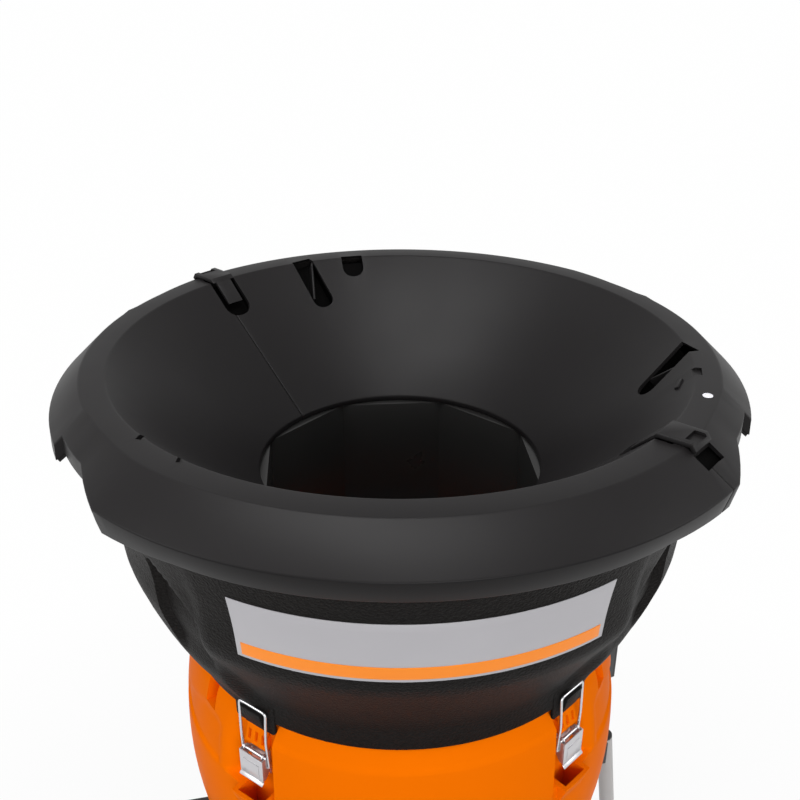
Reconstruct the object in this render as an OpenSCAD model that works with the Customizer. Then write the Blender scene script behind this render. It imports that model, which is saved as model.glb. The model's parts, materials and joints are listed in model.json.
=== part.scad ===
// Leaf shredder: a hopper on a drum with a flail-line motor, standing on four tube legs.
// Millimetres, floor at z = 0, +Z up, front towards -Y. Azimuths run from the front towards +X.

/* [Hopper] */
// Height of the hopper's rim above the floor
rim_h = 960; // [940:1:1040]
// Height of the hopper, from its rim to the drum
hopper_h = 290; // [280:1:310]
// Radius of the mouth at the crest
mouth_r = 275; // [268:1:285]
// Width of the flat crest round the mouth
crest_w = 25; // [22:1:32]
// Reach of the front and rear lips past the crest
lip_reach = 41; // [34:1:48]
// Fall of the front and rear lips
lip_drop = 25; // [20:1:32]
// Reach of the side lobes past the crest
lobe_reach = 27; // [20:1:32]
// Fall of the side lobes
lobe_drop = 27; // [20:1:32]
// Height of the skirt under the lips
skirt_h = 25; // [15:1:30]
// How far the skirt draws in at its foot
skirt_inset = 11; // [5:1:14]
// Half angle of a lip
lip_half_a = 49; // [45.5:0.5:52]
// Angle of a hand grip between a lip and a lobe
grip_a = 18; // [12:1:22]
// Reach of the rim past the crest in a hand grip
grip_reach = 20; // [16:1:24]
// Azimuth of the joint between the hopper halves
joint_a = 45; // [40:1:45]
// Wall of the hopper halves
hopper_wall = 3.5; // [3:0.1:4.5]
// Radius of the throat
throat_r = 142; // [135:1:150]
// Depth of the funnel down to the throat
funnel_depth = 124; // [110:1:140]

/* [Bowl] */
// Step from the crest's edge in to the bowl's top
bowl_step = 2; // [1:1:8]
// Step from the drum's largest radius in to the bowl's neck
neck_step = 15.5; // [15:0.5:17]
// Wall of the bowl
bowl_wall = 4; // [3:0.5:5]
// Height of the spigot that enters the drum
spigot_h = 20; // [12:1:26]
// Wall of the throat chute
chute_wall = 3; // [2:0.5:4]
// Half angle of the badge panel
badge_half_a = 36; // [24:1:40]
// Thickness of the badge plate
badge_t = 1.5; // [1:0.1:2]

/* [Drum] */
// Largest radius of the drum
drum_r = 238.5; // [236:0.5:242]
// Height of the drum
drum_h = 308; // [302:1:316]
// Wall of the drum
drum_wall = 4; // [3:0.5:5]
// Draw-in of the drum's wall at the shoulder
top_draw = 20; // [18:0.5:22]
// Draw-in of the drum's wall at the foot
foot_draw = 37; // [34:1:40]
// Height of the shoulder's slope
shoulder_h = 22; // [18:1:24]
// Height of the bag neck
bag_neck_h = 32; // [24:1:40]

/* [Latches] */
// Azimuth of the first latch
latch_angle = 41; // [40:0.5:45]
// Width of the recess that a latch sits in
recess_w = 52; // [48:1:58]
// Depth of the recess floor behind the drum's largest radius
recess_depth = 16.5; // [16:0.5:17.5]
// Diameter of the bail wire
wire_d = 3; // [2:0.5:3.2]
// Length of the bail
bail_l = 68; // [62:1:70]
// Width of the lever
lever_w = 30; // [26:1:32]
// Length of the lever below its pin
lever_l = 30; // [26:1:32]

/* [Legs] */
// Diameter of a leg tube
leg_d = 19; // [16:1:20]
// Wall of a leg tube
leg_wall = 1.5; // [1:0.1:2]
// Splay of the legs
splay = 7; // [5:0.5:8]
// Azimuth of the first leg
leg_a = 8; // [4:1:12]

/* [Motor] */
// Radius of the motor pod
pod_r = 60; // [56:1:66]
// Height of the motor pod
pod_h = 158; // [155:1:165]
// Diameter of the drive shaft
shaft_d = 10; // [8:1:11]
// Outside diameter of the bearings
bearing_d = 26; // [24:1:28]
// Room between the ends of the cutting lines and the drum
line_room = 18; // [11:1:43]
// Diameter of a cutting line
line_d = 2.4; // [2:0.1:3]

/* [Switch box] */
// Azimuth of the switch box
switch_angle = 115; // [113:1:118]
// Width of the switch box
switch_w = 84; // [80:1:92]
// Height of the switch box
switch_h = 95; // [90:1:105]
// Travel of the buttons
press = 3; // [2:0.5:3]

/* [Hidden] */
$fn = 96;

// Overrun of cuts, clearance between pieces, running fit and the seam of the hopper halves
over = 1;
gap = 0.3;
run = 0.03;
seam = 0.4;

// Heights of the seats, from the rim down
gasket_t = 1.5;
z_neck = rim_h - hopper_h;
z_drum = z_neck - gasket_t;
z_foot = z_drum - drum_h;

// Hopper rim
crest_r = mouth_r + crest_w;
bowl_r = crest_r - bowl_step;
neck_r = drum_r - neck_step;
lip_r = crest_r + lip_reach;
slope_a = atan2(funnel_depth, mouth_r - throat_r);
cone_run = hopper_wall / sin(slope_a);
throat_lip = 6;
lobe_half_a = 90 - lip_half_a - grip_a;
lobe_skirt_share = 0.64;
lobe_skirt = skirt_h * lobe_skirt_share;
grip_drop_share = 0.72;
grip_drop = lip_drop * grip_drop_share;
grip_skirt_share = 0.68;
grip_skirt = skirt_h * grip_skirt_share;
lobe_step = 2;
grip_step = 4;
rim_depth = lip_drop + skirt_h + over;
end_wall_a = hopper_wall / crest_r * 180 / PI;
seam_a = seam / lip_r * 90 / PI;
half_box = 2 * lip_r;

// Rim clips
clip_w = 28;
clip_t = 4;
clip_reach = 26;
clip_window_l = 12;
clip_window_w = 18;

// Wall pockets of the funnel: width, length, thickness, slant and depth of the middle
pocket_w = 24;
pocket_l = 60;
pocket_t = 20;
pocket_slant = 17;
pocket_depth = 24;
dimple_r = 11;
dimple_depth = 16;
small_hole_r = 5;
hole_depth = 15;
notch_w = 6;
notch_h = 4;
notch_azimuths = [-53, -42];
slot_azimuths = [-160.5, 83];
dimple_a = -172;
hole_a = 72;

// Bowl outline: share of the height above the neck, share of the way from neck to top radius
bowl_shares = [
    [0, 0], [0.03, 0.05], [0.125, 0.313], [0.24, 0.517], [0.37, 0.693], [0.57, 0.825], [0.75, 1], [1, 1]
];
badge_shares = [0.33, 0.37, 0.57, 0.68];
plate_shares = [0.36, 0.37, 0.57, 0.66];
stripe_shares = [0.41, 0.46];
groove_shares = [0.30, 0.37, 0.57, 0.62];
groove_a = 2;
groove_azimuths = [52, 58, 122, 128];
bowl_h = hopper_h - hopper_wall;
spigot_step = 18;
spigot_r = neck_r - spigot_step;
badge_margin_a = 2;

// Chute: an octagon inside the throat
chute_sides = 8;
chute_step = 8;
chute_in = throat_r - chute_step;
chute_out_r = (chute_in + chute_wall) / cos(180 / chute_sides);
chute_flange = 18;
chute_foot = 10;
chute_screw_r = 2;
chute_screw_at = chute_out_r + chute_flange / 2;

// Drum wall
barrel_share = 0.55;
shoulder_in = 4;
rim_flange = 6;
wall_steps = 10;
panel_draw = 4;
panel_steps = 5;
panel_half_a = 35.5;

// Latches: local x runs outwards, y along the wall
latch_azimuths = [latch_angle, 180 - latch_angle, latch_angle - 180, -latch_angle];
recess_r = drum_r - recess_depth;
tongue_w = 46;
tongue_t = 4;
tongue_h = 14;
lug_w = 22;
lug_h = 14;
bail_drop = 6;
wire_r = wire_d / 2;
recess_gap = 1;
bail_gap = 0.5;
bail_r = recess_r + recess_gap + tongue_t + wire_r + bail_gap;
z_bail = z_neck + bail_drop;
z_q = z_bail - bail_l;
lever_arm = 12;
over_centre = 1.5;
p_r = bail_r + over_centre;
z_p = z_q + lever_arm;
lever_pin_r = 2;
sheet = 1.5;
bracket_gap = 1;
bracket_half = lever_w / 2 - sheet - bracket_gap;
lever_rise = 4.8;
lever_x = p_r + lever_rise;
bail_half = lever_w / 2 + gap + wire_r;
curl = 4;
recess_foot = 18;
recess_h = z_drum - z_p + lever_l + recess_foot;
z_recess = z_drum - recess_h;
recess_pad = 5;
scoop_w = 40;
scoop_h = 66;
scoop_out = 8;
scoop_wall = 4;
rib_w = 3;
rib_pitch = 8;
rib_h = 24;
rib_out = 3;
slot_w = 13;
slot_h = 42;
slot_deep = 7;
slot_a = 19;

// Motor: heights down from the drum's top
hub_t = 6;
hub_depth = 138.5;
z_hub = z_drum - hub_depth;
hub_flange = 4;
hub_r = pod_r + hub_flange;
arm_w = 14;
arm_h = 24;
boss_wall = 5;
boss_r = bearing_d / 2 + boss_wall;
boss_h = 14;
bearing_w = 8;
seal_t = 2;
shaft_gap = 2;
shaft_r = shaft_d / 2;
bearing_r = bearing_d / 2;
pod_wall = 3;
pod_floor = 4;
z_pod = z_hub - pod_h;
stator_h = 60;
stator_depth = 110;
z_stator = z_hub - stator_depth;
stator_r = pod_r - pod_wall - gap;
rotor_share = 0.54;
rotor_r = stator_r * rotor_share;
air_gap = 0.6;
winding_t = 10;
winding_w = 14;
comm_r = 13;
comm_h = 12;
z_comm = z_stator - winding_t - comm_h;
fan_gap = 6;
fan_r = stator_r - fan_gap;
fan_h = 14;
fan_disc = 3;
fan_blades = 9;
fan_depth = 32;
z_fan = z_hub - fan_depth;
head_r = 55;
head_h = 16;
head_gap = 6;
z_head = z_hub + hub_t + boss_h + head_gap;
nut_r = 9;
nut_h = 8;
shaft_top = 6;
line_count = 4;
line_reach = recess_r - recess_pad - line_room;
line_a = 45;
brush_w = 8;
brush_h = 8;
holder_wall = 2;
z_brush = z_comm + comm_h / 2;
screw_r = 2.5;
screw_head_r = 5;
screw_head_h = 3;
screw_l = 24;

// Legs
leg_r = leg_d / 2;
leg_rise = 37;
z_leg = z_foot + leg_rise;
leg_out = 27;
leg_top_r = drum_r + leg_out;
leg_floor = 6;
leg_l = (z_leg - leg_floor) / cos(splay);
clamp_h = 34;
clamp_side = 2;
clamp_w = leg_d + 2 * clamp_side;
clamp_rise = 1;
z_clamp = z_foot + clamp_rise;
bolt_r = 3;
bolt_head_r = 6;
bolt_head_h = 4;
bolt_pitch = 16;
plug_h = 3;
plug_l = 6;
foot_r = 15;
foot_h = 44;
foot_wall = 4;

// Bag neck
neck_wall = 3;
bag_step = 10;
bag_r = drum_r - foot_draw - bag_step;
bead = 3;

// Switch box
switch_depth = 219;
z_switch = z_drum - switch_depth;
switch_d = 52;
switch_out = drum_r + switch_d;
cover_t = 3;
box_wall = 4;
box_back = 6;
cavity_r = drum_r + box_back;
button_flange = 1.5;
flange_t = 3;
button_out = 4;
start_r = 10;
stop_r = 12;
reset_r = 5;
button_radii = [start_r, stop_r, reset_r];
button_y_shares = [-0.215, 0.19, 0.285];
button_z_shares = [0.65, 0.65, 0.25];
block_w = 62;
block_h = 66;
inlet_w = 32;
inlet_d = 24;
inlet_h = 16;
inlet_wall = 3;
prong_w = 6;
prong_t = 1.6;
prong_l = 12;
prong_pitch = 12;
conduit_r = 7;
lead_r = 3.5;
lead_depth = 32;
z_lead = z_hub - lead_depth;
corner_in = 7;

// Turns a shape drawn along +X so that it faces azimuth a
module at(a) rotate([0, 0, a - 90]) children();

// Turns a flat section about the axis from azimuth a0 to a1
module sweep(a0, a1) rotate([0, 0, a0 - 90]) rotate_extrude(angle = a1 - a0) children();

// A box from low corner to high corner
module box(low, high) translate(low) cube(high - low);

// A cylinder along +X from x0 to x1
module rod_x(r, x0, x1) translate([x0, 0, 0]) rotate([0, 90, 0]) cylinder(h = x1 - x0, r = r);

// A cylinder along Y, centred
module rod_y(r, l) rotate([90, 0, 0]) cylinder(h = l, r = r, center = true);

function bowl_radius(share) = neck_r + lookup(share, bowl_shares) * (bowl_r - neck_r);
function bowl_z(share) = z_neck + share * bowl_h;
function cone_r(depth) = mouth_r - depth / tan(slope_a);

// Radius of the drum's outer wall at a share of its height
function barrel(share) =
    share > barrel_share
        ? drum_r - top_draw * pow((share - barrel_share) / (1 - barrel_share), 2)
        : drum_r - foot_draw * pow((barrel_share - share) / barrel_share, 2);
function barrel_at(z) = barrel((z - z_foot) / drum_h);
top_r = barrel(1) - shoulder_in;
slot_floor = barrel(1) - slot_deep;
shoulder_share = 1 - shoulder_h / drum_h;
function wall_line(inset) = [
    for (i = [0 : wall_steps])
        let (share = i / wall_steps * shoulder_share)
        [barrel(share) - inset, z_foot + share * drum_h]
];

// Hopper

// The funnel's own wall, from under the crest to the throat
function funnel_line() = [
    [cone_r(hopper_wall) + cone_run, -hopper_wall],
    [throat_r + cone_run, -funnel_depth],
    [throat_r + cone_run, -funnel_depth - throat_lip],
    [throat_r, -funnel_depth - throat_lip], [throat_r, -funnel_depth], [mouth_r, 0]
];

// Funnel, crest and a filled lip as one section, which the cuts below shape into lips, lobes and grips
module rim_blank_section() polygon(concat(
    [
        [crest_r, 0], [lip_r, -lip_drop], [lip_r - skirt_inset, -lip_drop - skirt_h],
        [crest_r + gap, -lip_drop - skirt_h], [crest_r + gap, -hopper_wall]
    ],
    funnel_line()
));

// What is cut away outside a lobe or a grip
module trim_section(step, reach, drop, skirt, inset, past) polygon([
    [crest_r - step - past * (reach + step) / drop, past], [crest_r + reach, -drop],
    [crest_r + reach - inset, -drop - skirt], [crest_r - past, -drop - skirt],
    [crest_r - past, -rim_depth - past], [lip_r + past, -rim_depth - past], [lip_r + past, past]
]);

// What is hollowed out under a lip, a lobe or a grip
module hollow_section(reach, drop, skirt, inset) polygon([
    [crest_r + gap - over, -hopper_wall - over], [crest_r + reach - hopper_wall, -drop - hopper_wall / 2],
    [crest_r + reach - inset - hopper_wall, -drop - skirt - over],
    [crest_r + gap - over, -drop - skirt - over]
]);

module lobe_cuts(middle) {
    sweep(middle - lobe_half_a, middle + lobe_half_a)
        trim_section(lobe_step, lobe_reach, lobe_drop, lobe_skirt, skirt_inset / 2, over);
    sweep(middle - lobe_half_a + end_wall_a, middle + lobe_half_a - end_wall_a)
        hollow_section(lobe_reach, lobe_drop, lobe_skirt, skirt_inset / 2);
}

module grip_cuts(middle) {
    sweep(middle - grip_a / 2 - end_wall_a / 4, middle + grip_a / 2 + end_wall_a / 4)
        trim_section(grip_step, grip_reach, grip_drop, grip_skirt, skirt_inset / 2, 2 * over);
    sweep(middle - grip_a / 2 + end_wall_a / 2, middle + grip_a / 2 - end_wall_a / 2)
        hollow_section(grip_reach, grip_drop, grip_skirt, skirt_inset / 2);
}

module lip_hollow(middle)
    sweep(middle - lip_half_a + end_wall_a, middle + lip_half_a - end_wall_a)
        hollow_section(lip_reach, lip_drop, skirt_h, skirt_inset);

// A slanted slot through the funnel's wall
module wall_slot(a, slant) at(a)
    translate([cone_r(pocket_depth), 0, -pocket_depth]) rotate([0, 90 - slope_a, 0])
        rotate([slant, 0, 0]) cube([pocket_t, pocket_w, pocket_l], center = true);

module wall_hole(a, r, depth) at(a)
    translate([cone_r(depth), 0, -depth]) rotate([0, slope_a, 0])
        cylinder(h = 4 * hopper_wall, r = r, center = true);

module crest_notch(a) at(a)
    box([mouth_r - 2 * notch_h, -notch_w / 2, -notch_h], [mouth_r + notch_h, notch_w / 2, over]);

// The half of the rim whose middle is at azimuth middle
module hopper_half(middle) difference() {
    difference() {
        difference() {
            sweep(middle - 90 + seam_a, middle + 90 - seam_a) rim_blank_section();
            for (a = [90, -90]) lobe_cuts(a);
        }
        for (a = [0, 180], side = [-1, 1]) grip_cuts(a + side * (lip_half_a + grip_a / 2));
    }
    for (a = [0, 180]) lip_hollow(a);
}

module hopper_front_half() color([0.13, 0.13, 0.135]) translate([0, 0, rim_h]) difference() {
    hopper_half(joint_a - 90);
    for (a = notch_azimuths) crest_notch(a);
}

module hopper_rear_half() color([0.13, 0.13, 0.135]) translate([0, 0, rim_h]) difference() {
    hopper_half(joint_a + 90);
    wall_slot(slot_azimuths[0], -pocket_slant);
    wall_slot(slot_azimuths[1], pocket_slant);
    wall_hole(dimple_a, dimple_r, dimple_depth);
    wall_hole(hole_a, small_hole_r, hole_depth);
}

// A clip over the crest and down the lip's slope
module rim_clip(a) color([0.1, 0.1, 0.1]) translate([0, 0, rim_h]) at(a) difference() {
    rotate([90, 0, 0]) linear_extrude(height = clip_w, center = true) polygon([
        [mouth_r, 0], [mouth_r, clip_t], [crest_r, clip_t],
        [crest_r + clip_reach, clip_t - clip_reach * lip_drop / lip_reach],
        [crest_r + clip_reach, gap - clip_reach * lip_drop / lip_reach], [crest_r, gap], [crest_r, 0]
    ]);
    box([crest_r - clip_window_l, -clip_window_w / 2, clip_t / 2],
        [crest_r, clip_window_w / 2, clip_t + over]);
}
module rim_clip_right() rim_clip(joint_a);
module rim_clip_left() rim_clip(joint_a - 180);

// Bowl

module bowl_section() polygon(concat(
    [for (p = bowl_shares) [bowl_radius(p[0]), bowl_z(p[0])]],
    [for (i = [len(bowl_shares) - 1 : -1 : 1])
        [bowl_radius(bowl_shares[i][0]) - bowl_wall, bowl_z(bowl_shares[i][0])]],
    [
        [neck_r - bowl_wall, z_neck + bowl_wall], [chute_out_r + gap, z_neck + bowl_wall],
        [chute_out_r + gap, z_neck], [spigot_r - bowl_wall, z_neck],
        [spigot_r - bowl_wall, z_neck - spigot_h], [spigot_r, z_neck - spigot_h], [spigot_r, z_neck]
    ]
));

// A band on the bowl's outside, from one inset to another, over a list of height shares
module band_section(shares, inner, outer) polygon(concat(
    [for (s = shares) [bowl_radius(s) - inner, bowl_z(s)]],
    [for (i = [len(shares) - 1 : -1 : 0]) [bowl_radius(shares[i]) - outer, bowl_z(shares[i])]]
));

// The tongue and lug that a bail pulls on
module keeper() {
    box([recess_r + recess_gap, -tongue_w / 2, z_neck - tongue_h],
        [recess_r + recess_gap + tongue_t, tongue_w / 2, z_neck + bail_drop + tongue_h]);
    box([neck_r - bowl_wall / 2, -tongue_w / 2, z_neck],
        [recess_r + recess_gap + tongue_t, tongue_w / 2, z_neck + bail_drop + tongue_h]);
    box([recess_r + recess_gap, -lug_w / 2, z_bail - wire_r - gap - lug_h],
        [bail_r + tongue_t, lug_w / 2, z_bail - wire_r - gap]);
}

module hopper_bowl() color([0.11, 0.11, 0.115]) difference() {
    union() {
        rotate_extrude() bowl_section();
        for (a = latch_azimuths) at(a) keeper();
    }
    sweep(-badge_half_a, badge_half_a) band_section(badge_shares, badge_t, -over);
    for (a = groove_azimuths, side = [-1, 1])
        sweep(side * a - groove_a, side * a + groove_a) band_section(groove_shares, bowl_wall / 2, -over);
}

module badge_plate() color([0.7, 0.7, 0.72])
    sweep(badge_margin_a - badge_half_a, badge_half_a - badge_margin_a) difference() {
        band_section(plate_shares, badge_t - gap, 0);
        band_section(stripe_shares, badge_t / 2, -over);
    }

module badge_stripe() color([1, 0.5, 0.05])
    sweep(badge_margin_a - badge_half_a, badge_half_a - badge_margin_a)
        band_section(stripe_shares, badge_t / 2, 0);

module octagon(apothem) rotate(180 / chute_sides)
    circle(r = apothem / cos(180 / chute_sides), $fn = chute_sides);

module throat_chute() color([0.09, 0.09, 0.09]) difference() {
    union() {
        translate([0, 0, z_neck - chute_foot])
            linear_extrude(height = hopper_h - funnel_depth - throat_lip + chute_foot)
                octagon(chute_in + chute_wall);
        translate([0, 0, rim_h - funnel_depth - throat_lip - chute_wall])
            cylinder(h = chute_wall, r = throat_r + chute_flange);
        translate([0, 0, z_neck + bowl_wall]) cylinder(h = chute_wall, r = chute_out_r + chute_flange);
    }
    translate([0, 0, z_neck - chute_foot - over])
        linear_extrude(height = hopper_h + 2 * over) octagon(chute_in);
    for (a = [0 : 60 : 300]) at(a)
        translate([chute_screw_at, 0, z_neck]) cylinder(h = 3 * bowl_wall, r = chute_screw_r + gap);
}

module chute_screws() color([0.6, 0.6, 0.62]) for (a = [0 : 60 : 300]) at(a)
    translate([chute_screw_at, 0, z_neck + bowl_wall]) {
        cylinder(h = chute_wall, r = chute_screw_r);
        translate([0, 0, chute_wall]) cylinder(h = chute_screw_r, r = 2 * chute_screw_r);
    }

module bowl_gasket() color([0.05, 0.05, 0.05]) difference() {
    translate([0, 0, z_drum]) cylinder(h = gasket_t, r = top_r);
    translate([0, 0, z_drum - over]) cylinder(h = gasket_t + 2 * over, r = spigot_r + gap);
}

// Drum

// The drum's outside, filled, with a margin
module drum_fill(margin) rotate_extrude() polygon(concat(
    [[0, z_foot - over]], [[barrel(0) + margin, z_foot - over]], wall_line(-margin),
    [[top_r + margin, z_drum], [0, z_drum]]
));

module drum_shell() rotate_extrude() polygon(concat(
    wall_line(0),
    [
        [top_r, z_drum], [spigot_r + gap, z_drum], [spigot_r + gap, z_drum - rim_flange],
        [top_r - drum_wall, z_drum - rim_flange]
    ],
    [for (i = [wall_steps : -1 : 0]) wall_line(drum_wall)[i]]
));

// The front and rear panels stand straighter than the drum's wall, up to its shoulder
function panel_at(z) =
    drum_r - panel_draw * pow((z - z_foot - barrel_share * drum_h) / (1 - barrel_share) / drum_h, 2);
panel_levels = [
    for (i = [0 : panel_steps]) z_recess + over + i / panel_steps * (z_drum - shoulder_h - z_recess - over)
];
module panel(middle) sweep(middle - panel_half_a, middle + panel_half_a) polygon(concat(
    [for (z = panel_levels) [panel_at(z), z]],
    [[neck_r - gap, z_drum - over], [top_r - drum_wall / 2, z_drum - over]],
    [for (i = [panel_steps : -1 : 0]) [barrel_at(panel_levels[i]) - drum_wall / 2, panel_levels[i]]]
));

// Which side of a latch faces the drum's left or right end, where its slot is
function outer_side(a) = sign(sin(2 * a));

// Inner backing of a latch recess and of the slot beside it
module recess_backing(side) intersection() {
    union() {
        box([recess_r - recess_pad, -recess_w / 2 - scoop_wall, z_recess - scoop_h],
            [drum_r, recess_w / 2 + scoop_wall, z_drum]);
        rotate([0, 0, side * slot_a])
            box([slot_floor - drum_wall, -slot_w, z_drum - slot_h - slot_w],
                [drum_r, slot_w, z_drum]);
    }
    drum_fill(-gap);
}

module scoop() rotate([90, 0, 0]) linear_extrude(height = scoop_w, center = true) polygon([
    [recess_r, z_recess], [drum_r + scoop_out, z_recess],
    [drum_r + scoop_out, z_recess - scoop_wall], [recess_r, z_recess - scoop_h]
]);

module recess_cut(side) {
    box([recess_r, -recess_w / 2, z_recess], [drum_r + scoop_out + over, recess_w / 2, z_drum + over]);
    box([recess_r, scoop_wall - scoop_w / 2, z_recess - scoop_h / 2],
        [drum_r + scoop_out - scoop_wall, scoop_w / 2 - scoop_wall, z_recess + over]);
    rotate([0, 0, side * slot_a])
        box([slot_floor, -slot_w / 2, z_drum - slot_h], [drum_r + over, slot_w / 2, z_drum + over]);
}

// Small ribs on the recess floor, between the keeper and the lever
module recess_ribs() for (i = [-1 : 1])
    box([recess_r - over, i * rib_pitch - rib_w / 2, z_p + 2 * bolt_r],
        [recess_r + rib_out, i * rib_pitch + rib_w / 2, z_p + 2 * bolt_r + rib_h]);

module drum_housing() color([0.96, 0.42, 0.03]) difference() {
    union() {
        difference() {
            union() {
                drum_shell();
                for (a = [0, 180]) panel(a);
                for (a = latch_azimuths) at(a) {
                    recess_backing(outer_side(a));
                    scoop();
                }
            }
            for (a = latch_azimuths) at(a) recess_cut(outer_side(a));
        }
        for (a = latch_azimuths) at(a) recess_ribs();
    }
    spider_holes(screw_r + gap);
    for (i = [0 : 3]) clamp_holes(i, bolt_r + gap);
    at(switch_angle) translate([0, 0, z_lead]) rod_x(lead_r + gap, recess_r - drum_wall, drum_r + over);
}

module bag_neck() color([0.1, 0.1, 0.1]) rotate_extrude() polygon([
    [barrel(0), z_foot], [barrel(0), z_foot - neck_wall], [bag_r, z_foot - neck_wall],
    [bag_r, z_foot - bag_neck_h + bead], [bag_r + bead, z_foot - bag_neck_h + bead],
    [bag_r + bead, z_foot - bag_neck_h], [bag_r - neck_wall, z_foot - bag_neck_h], [bag_r - neck_wall, z_foot]
]);

// Latches

module latch_brackets() color([0.62, 0.62, 0.64]) for (a = latch_azimuths) at(a) difference() {
    union() {
        box([recess_r, -bracket_half, z_p - lever_l + curl], [recess_r + sheet, bracket_half, z_p + bolt_r]);
        for (side = [-1, 1]) translate([0, side * (bracket_half - sheet / 2), 0]) {
            box([recess_r, -sheet / 2, z_p - 2 * lever_pin_r], [p_r, sheet / 2, z_p - lever_pin_r / 2]);
            translate([p_r, 0, z_p]) rod_y(2 * lever_pin_r, sheet);
        }
    }
    translate([p_r, 0, z_p]) rod_y(lever_pin_r + run, lever_w);
}

module latch_pins() color([0.5, 0.5, 0.52]) for (a = latch_azimuths) at(a)
    translate([p_r, 0, z_p]) rod_y(lever_pin_r, lever_w);

// A pressed channel with two cheeks, a face and a finger curl at its end
module latch_lever(i) color([0.72, 0.72, 0.74]) at(latch_azimuths[i]) difference() {
    union() {
        box([lever_x, -lever_w / 2, z_p - lever_l], [lever_x + sheet, lever_w / 2, z_p + lever_pin_r / 2]);
        box([lever_x, -lever_w / 2, z_p - lever_l], [lever_x + curl, lever_w / 2, z_p - lever_l + sheet]);
        for (side = [-1, 1]) translate([0, side * (lever_w - sheet) / 2, 0])
            rotate([90, 0, 0]) linear_extrude(height = sheet, center = true) polygon([
                [p_r - 2 * lever_pin_r, z_p + lever_pin_r / 2], [lever_x, z_p + lever_pin_r / 2],
                [lever_x, z_p - lever_l + sheet], [bail_r + wire_d, z_q - lever_arm],
                [bail_r - wire_d, z_q - wire_d], [bail_r - wire_d, z_q + wire_d]
            ]);
    }
    translate([p_r, 0, z_p]) rod_y(lever_pin_r + run, lever_w + over);
    translate([bail_r, 0, z_q]) rod_y(wire_r + run, lever_w + over);
}

// A wire loop with its two ends turned in
module latch_bail(i) color([0.78, 0.78, 0.8]) at(latch_azimuths[i]) {
    translate([bail_r, 0, z_bail]) rod_y(wire_r, 2 * bail_half);
    for (side = [-1, 1]) translate([bail_r, side * bail_half, 0]) {
        translate([0, 0, z_q]) cylinder(h = bail_l, r = wire_r);
        translate([0, 0, z_bail]) sphere(r = wire_r);
        translate([0, 0, z_q]) sphere(r = wire_r);
        translate([0, -side * (bail_half - bracket_half - gap) / 2, z_q])
            rod_y(wire_r, bail_half - bracket_half - gap);
    }
}
module latch_lever_1() latch_lever(0);
module latch_lever_2() latch_lever(1);
module latch_lever_3() latch_lever(2);
module latch_lever_4() latch_lever(3);
module latch_bail_1() latch_bail(0);
module latch_bail_2() latch_bail(1);
module latch_bail_3() latch_bail(2);
module latch_bail_4() latch_bail(3);

// Motor

module spider_holes(r) for (a = [0 : 90 : 270]) at(a)
    translate([0, 0, z_hub - arm_h / 2 + hub_t]) rod_x(r, drum_r - screw_l - gap, drum_r + over);

module motor_spider() color([0.12, 0.12, 0.12]) difference() {
    union() {
        translate([0, 0, z_hub]) cylinder(h = hub_t, r = hub_r);
        translate([0, 0, z_hub]) cylinder(h = hub_t + boss_h, r = boss_r);
        intersection() {
            for (a = [0 : 90 : 270]) at(a)
                box([hub_r - hub_t, -arm_w / 2, z_hub - arm_h + hub_t], [drum_r, arm_w / 2, z_hub + hub_t]);
            drum_fill(-drum_wall - gap);
        }
    }
    translate([0, 0, z_hub - over]) cylinder(h = hub_t + boss_h, r = shaft_r + shaft_gap);
    translate([0, 0, z_hub + hub_t + boss_h - bearing_w - seal_t]) cylinder(h = boss_h, r = bearing_r + run);
    translate([0, 0, z_hub - arm_h]) cylinder(h = arm_h, r = pod_r + gap);
    spider_holes(screw_r + run);
}

module spider_screws() color([0.55, 0.55, 0.57]) for (a = [0 : 90 : 270]) at(a)
    translate([0, 0, z_hub - arm_h / 2 + hub_t]) {
        rod_x(screw_r, drum_r - screw_l, drum_r);
        rod_x(screw_head_r, drum_r, drum_r + screw_head_h);
    }

module motor_pod() color([0.12, 0.12, 0.12]) difference() {
    union() {
        difference() {
            translate([0, 0, z_pod]) cylinder(h = pod_h, r = pod_r);
            translate([0, 0, z_pod + pod_floor]) cylinder(h = pod_h, r = pod_r - pod_wall);
            for (a = [0 : 30 : 330]) at(a)
                box([boss_r + pod_wall, -pod_wall / 2, z_pod - over],
                    [pod_r - 2 * pod_wall, pod_wall / 2, z_pod + pod_floor + over]);
        }
        translate([0, 0, z_pod]) cylinder(h = pod_floor + boss_h, r = boss_r);
    }
    translate([0, 0, z_pod + pod_floor + boss_h - bearing_w]) cylinder(h = boss_h, r = bearing_r + run);
    translate([0, 0, z_pod + pod_floor]) cylinder(h = boss_h, r = shaft_r + shaft_gap);
    at(switch_angle) translate([0, 0, z_lead]) rod_x(lead_r + gap, pod_r - 2 * pod_wall, pod_r + over);
}

module stator_core() color([0.45, 0.45, 0.47]) translate([0, 0, z_stator]) difference() {
    cylinder(h = stator_h, r = stator_r);
    translate([0, 0, -over]) cylinder(h = stator_h + 2 * over, r = rotor_r + air_gap);
}

module field_windings() color([0.6, 0.3, 0.12]) for (z = [z_stator - winding_t, z_stator + stator_h])
    translate([0, 0, z]) difference() {
        cylinder(h = winding_t, r = rotor_r + winding_w + winding_t / 2);
        translate([0, 0, -over]) cylinder(h = winding_t + 2 * over, r = rotor_r + winding_t / 2);
    }

// A ring on the shaft
module on_shaft(r, h) difference() {
    cylinder(h = h, r = r);
    translate([0, 0, -over]) cylinder(h = h + 2 * over, r = shaft_r + run);
}

module rotor_core() color([0.4, 0.4, 0.42]) translate([0, 0, z_stator]) on_shaft(rotor_r, stator_h);
module commutator() color([0.7, 0.4, 0.2]) translate([0, 0, z_comm]) on_shaft(comm_r, comm_h);

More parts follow.
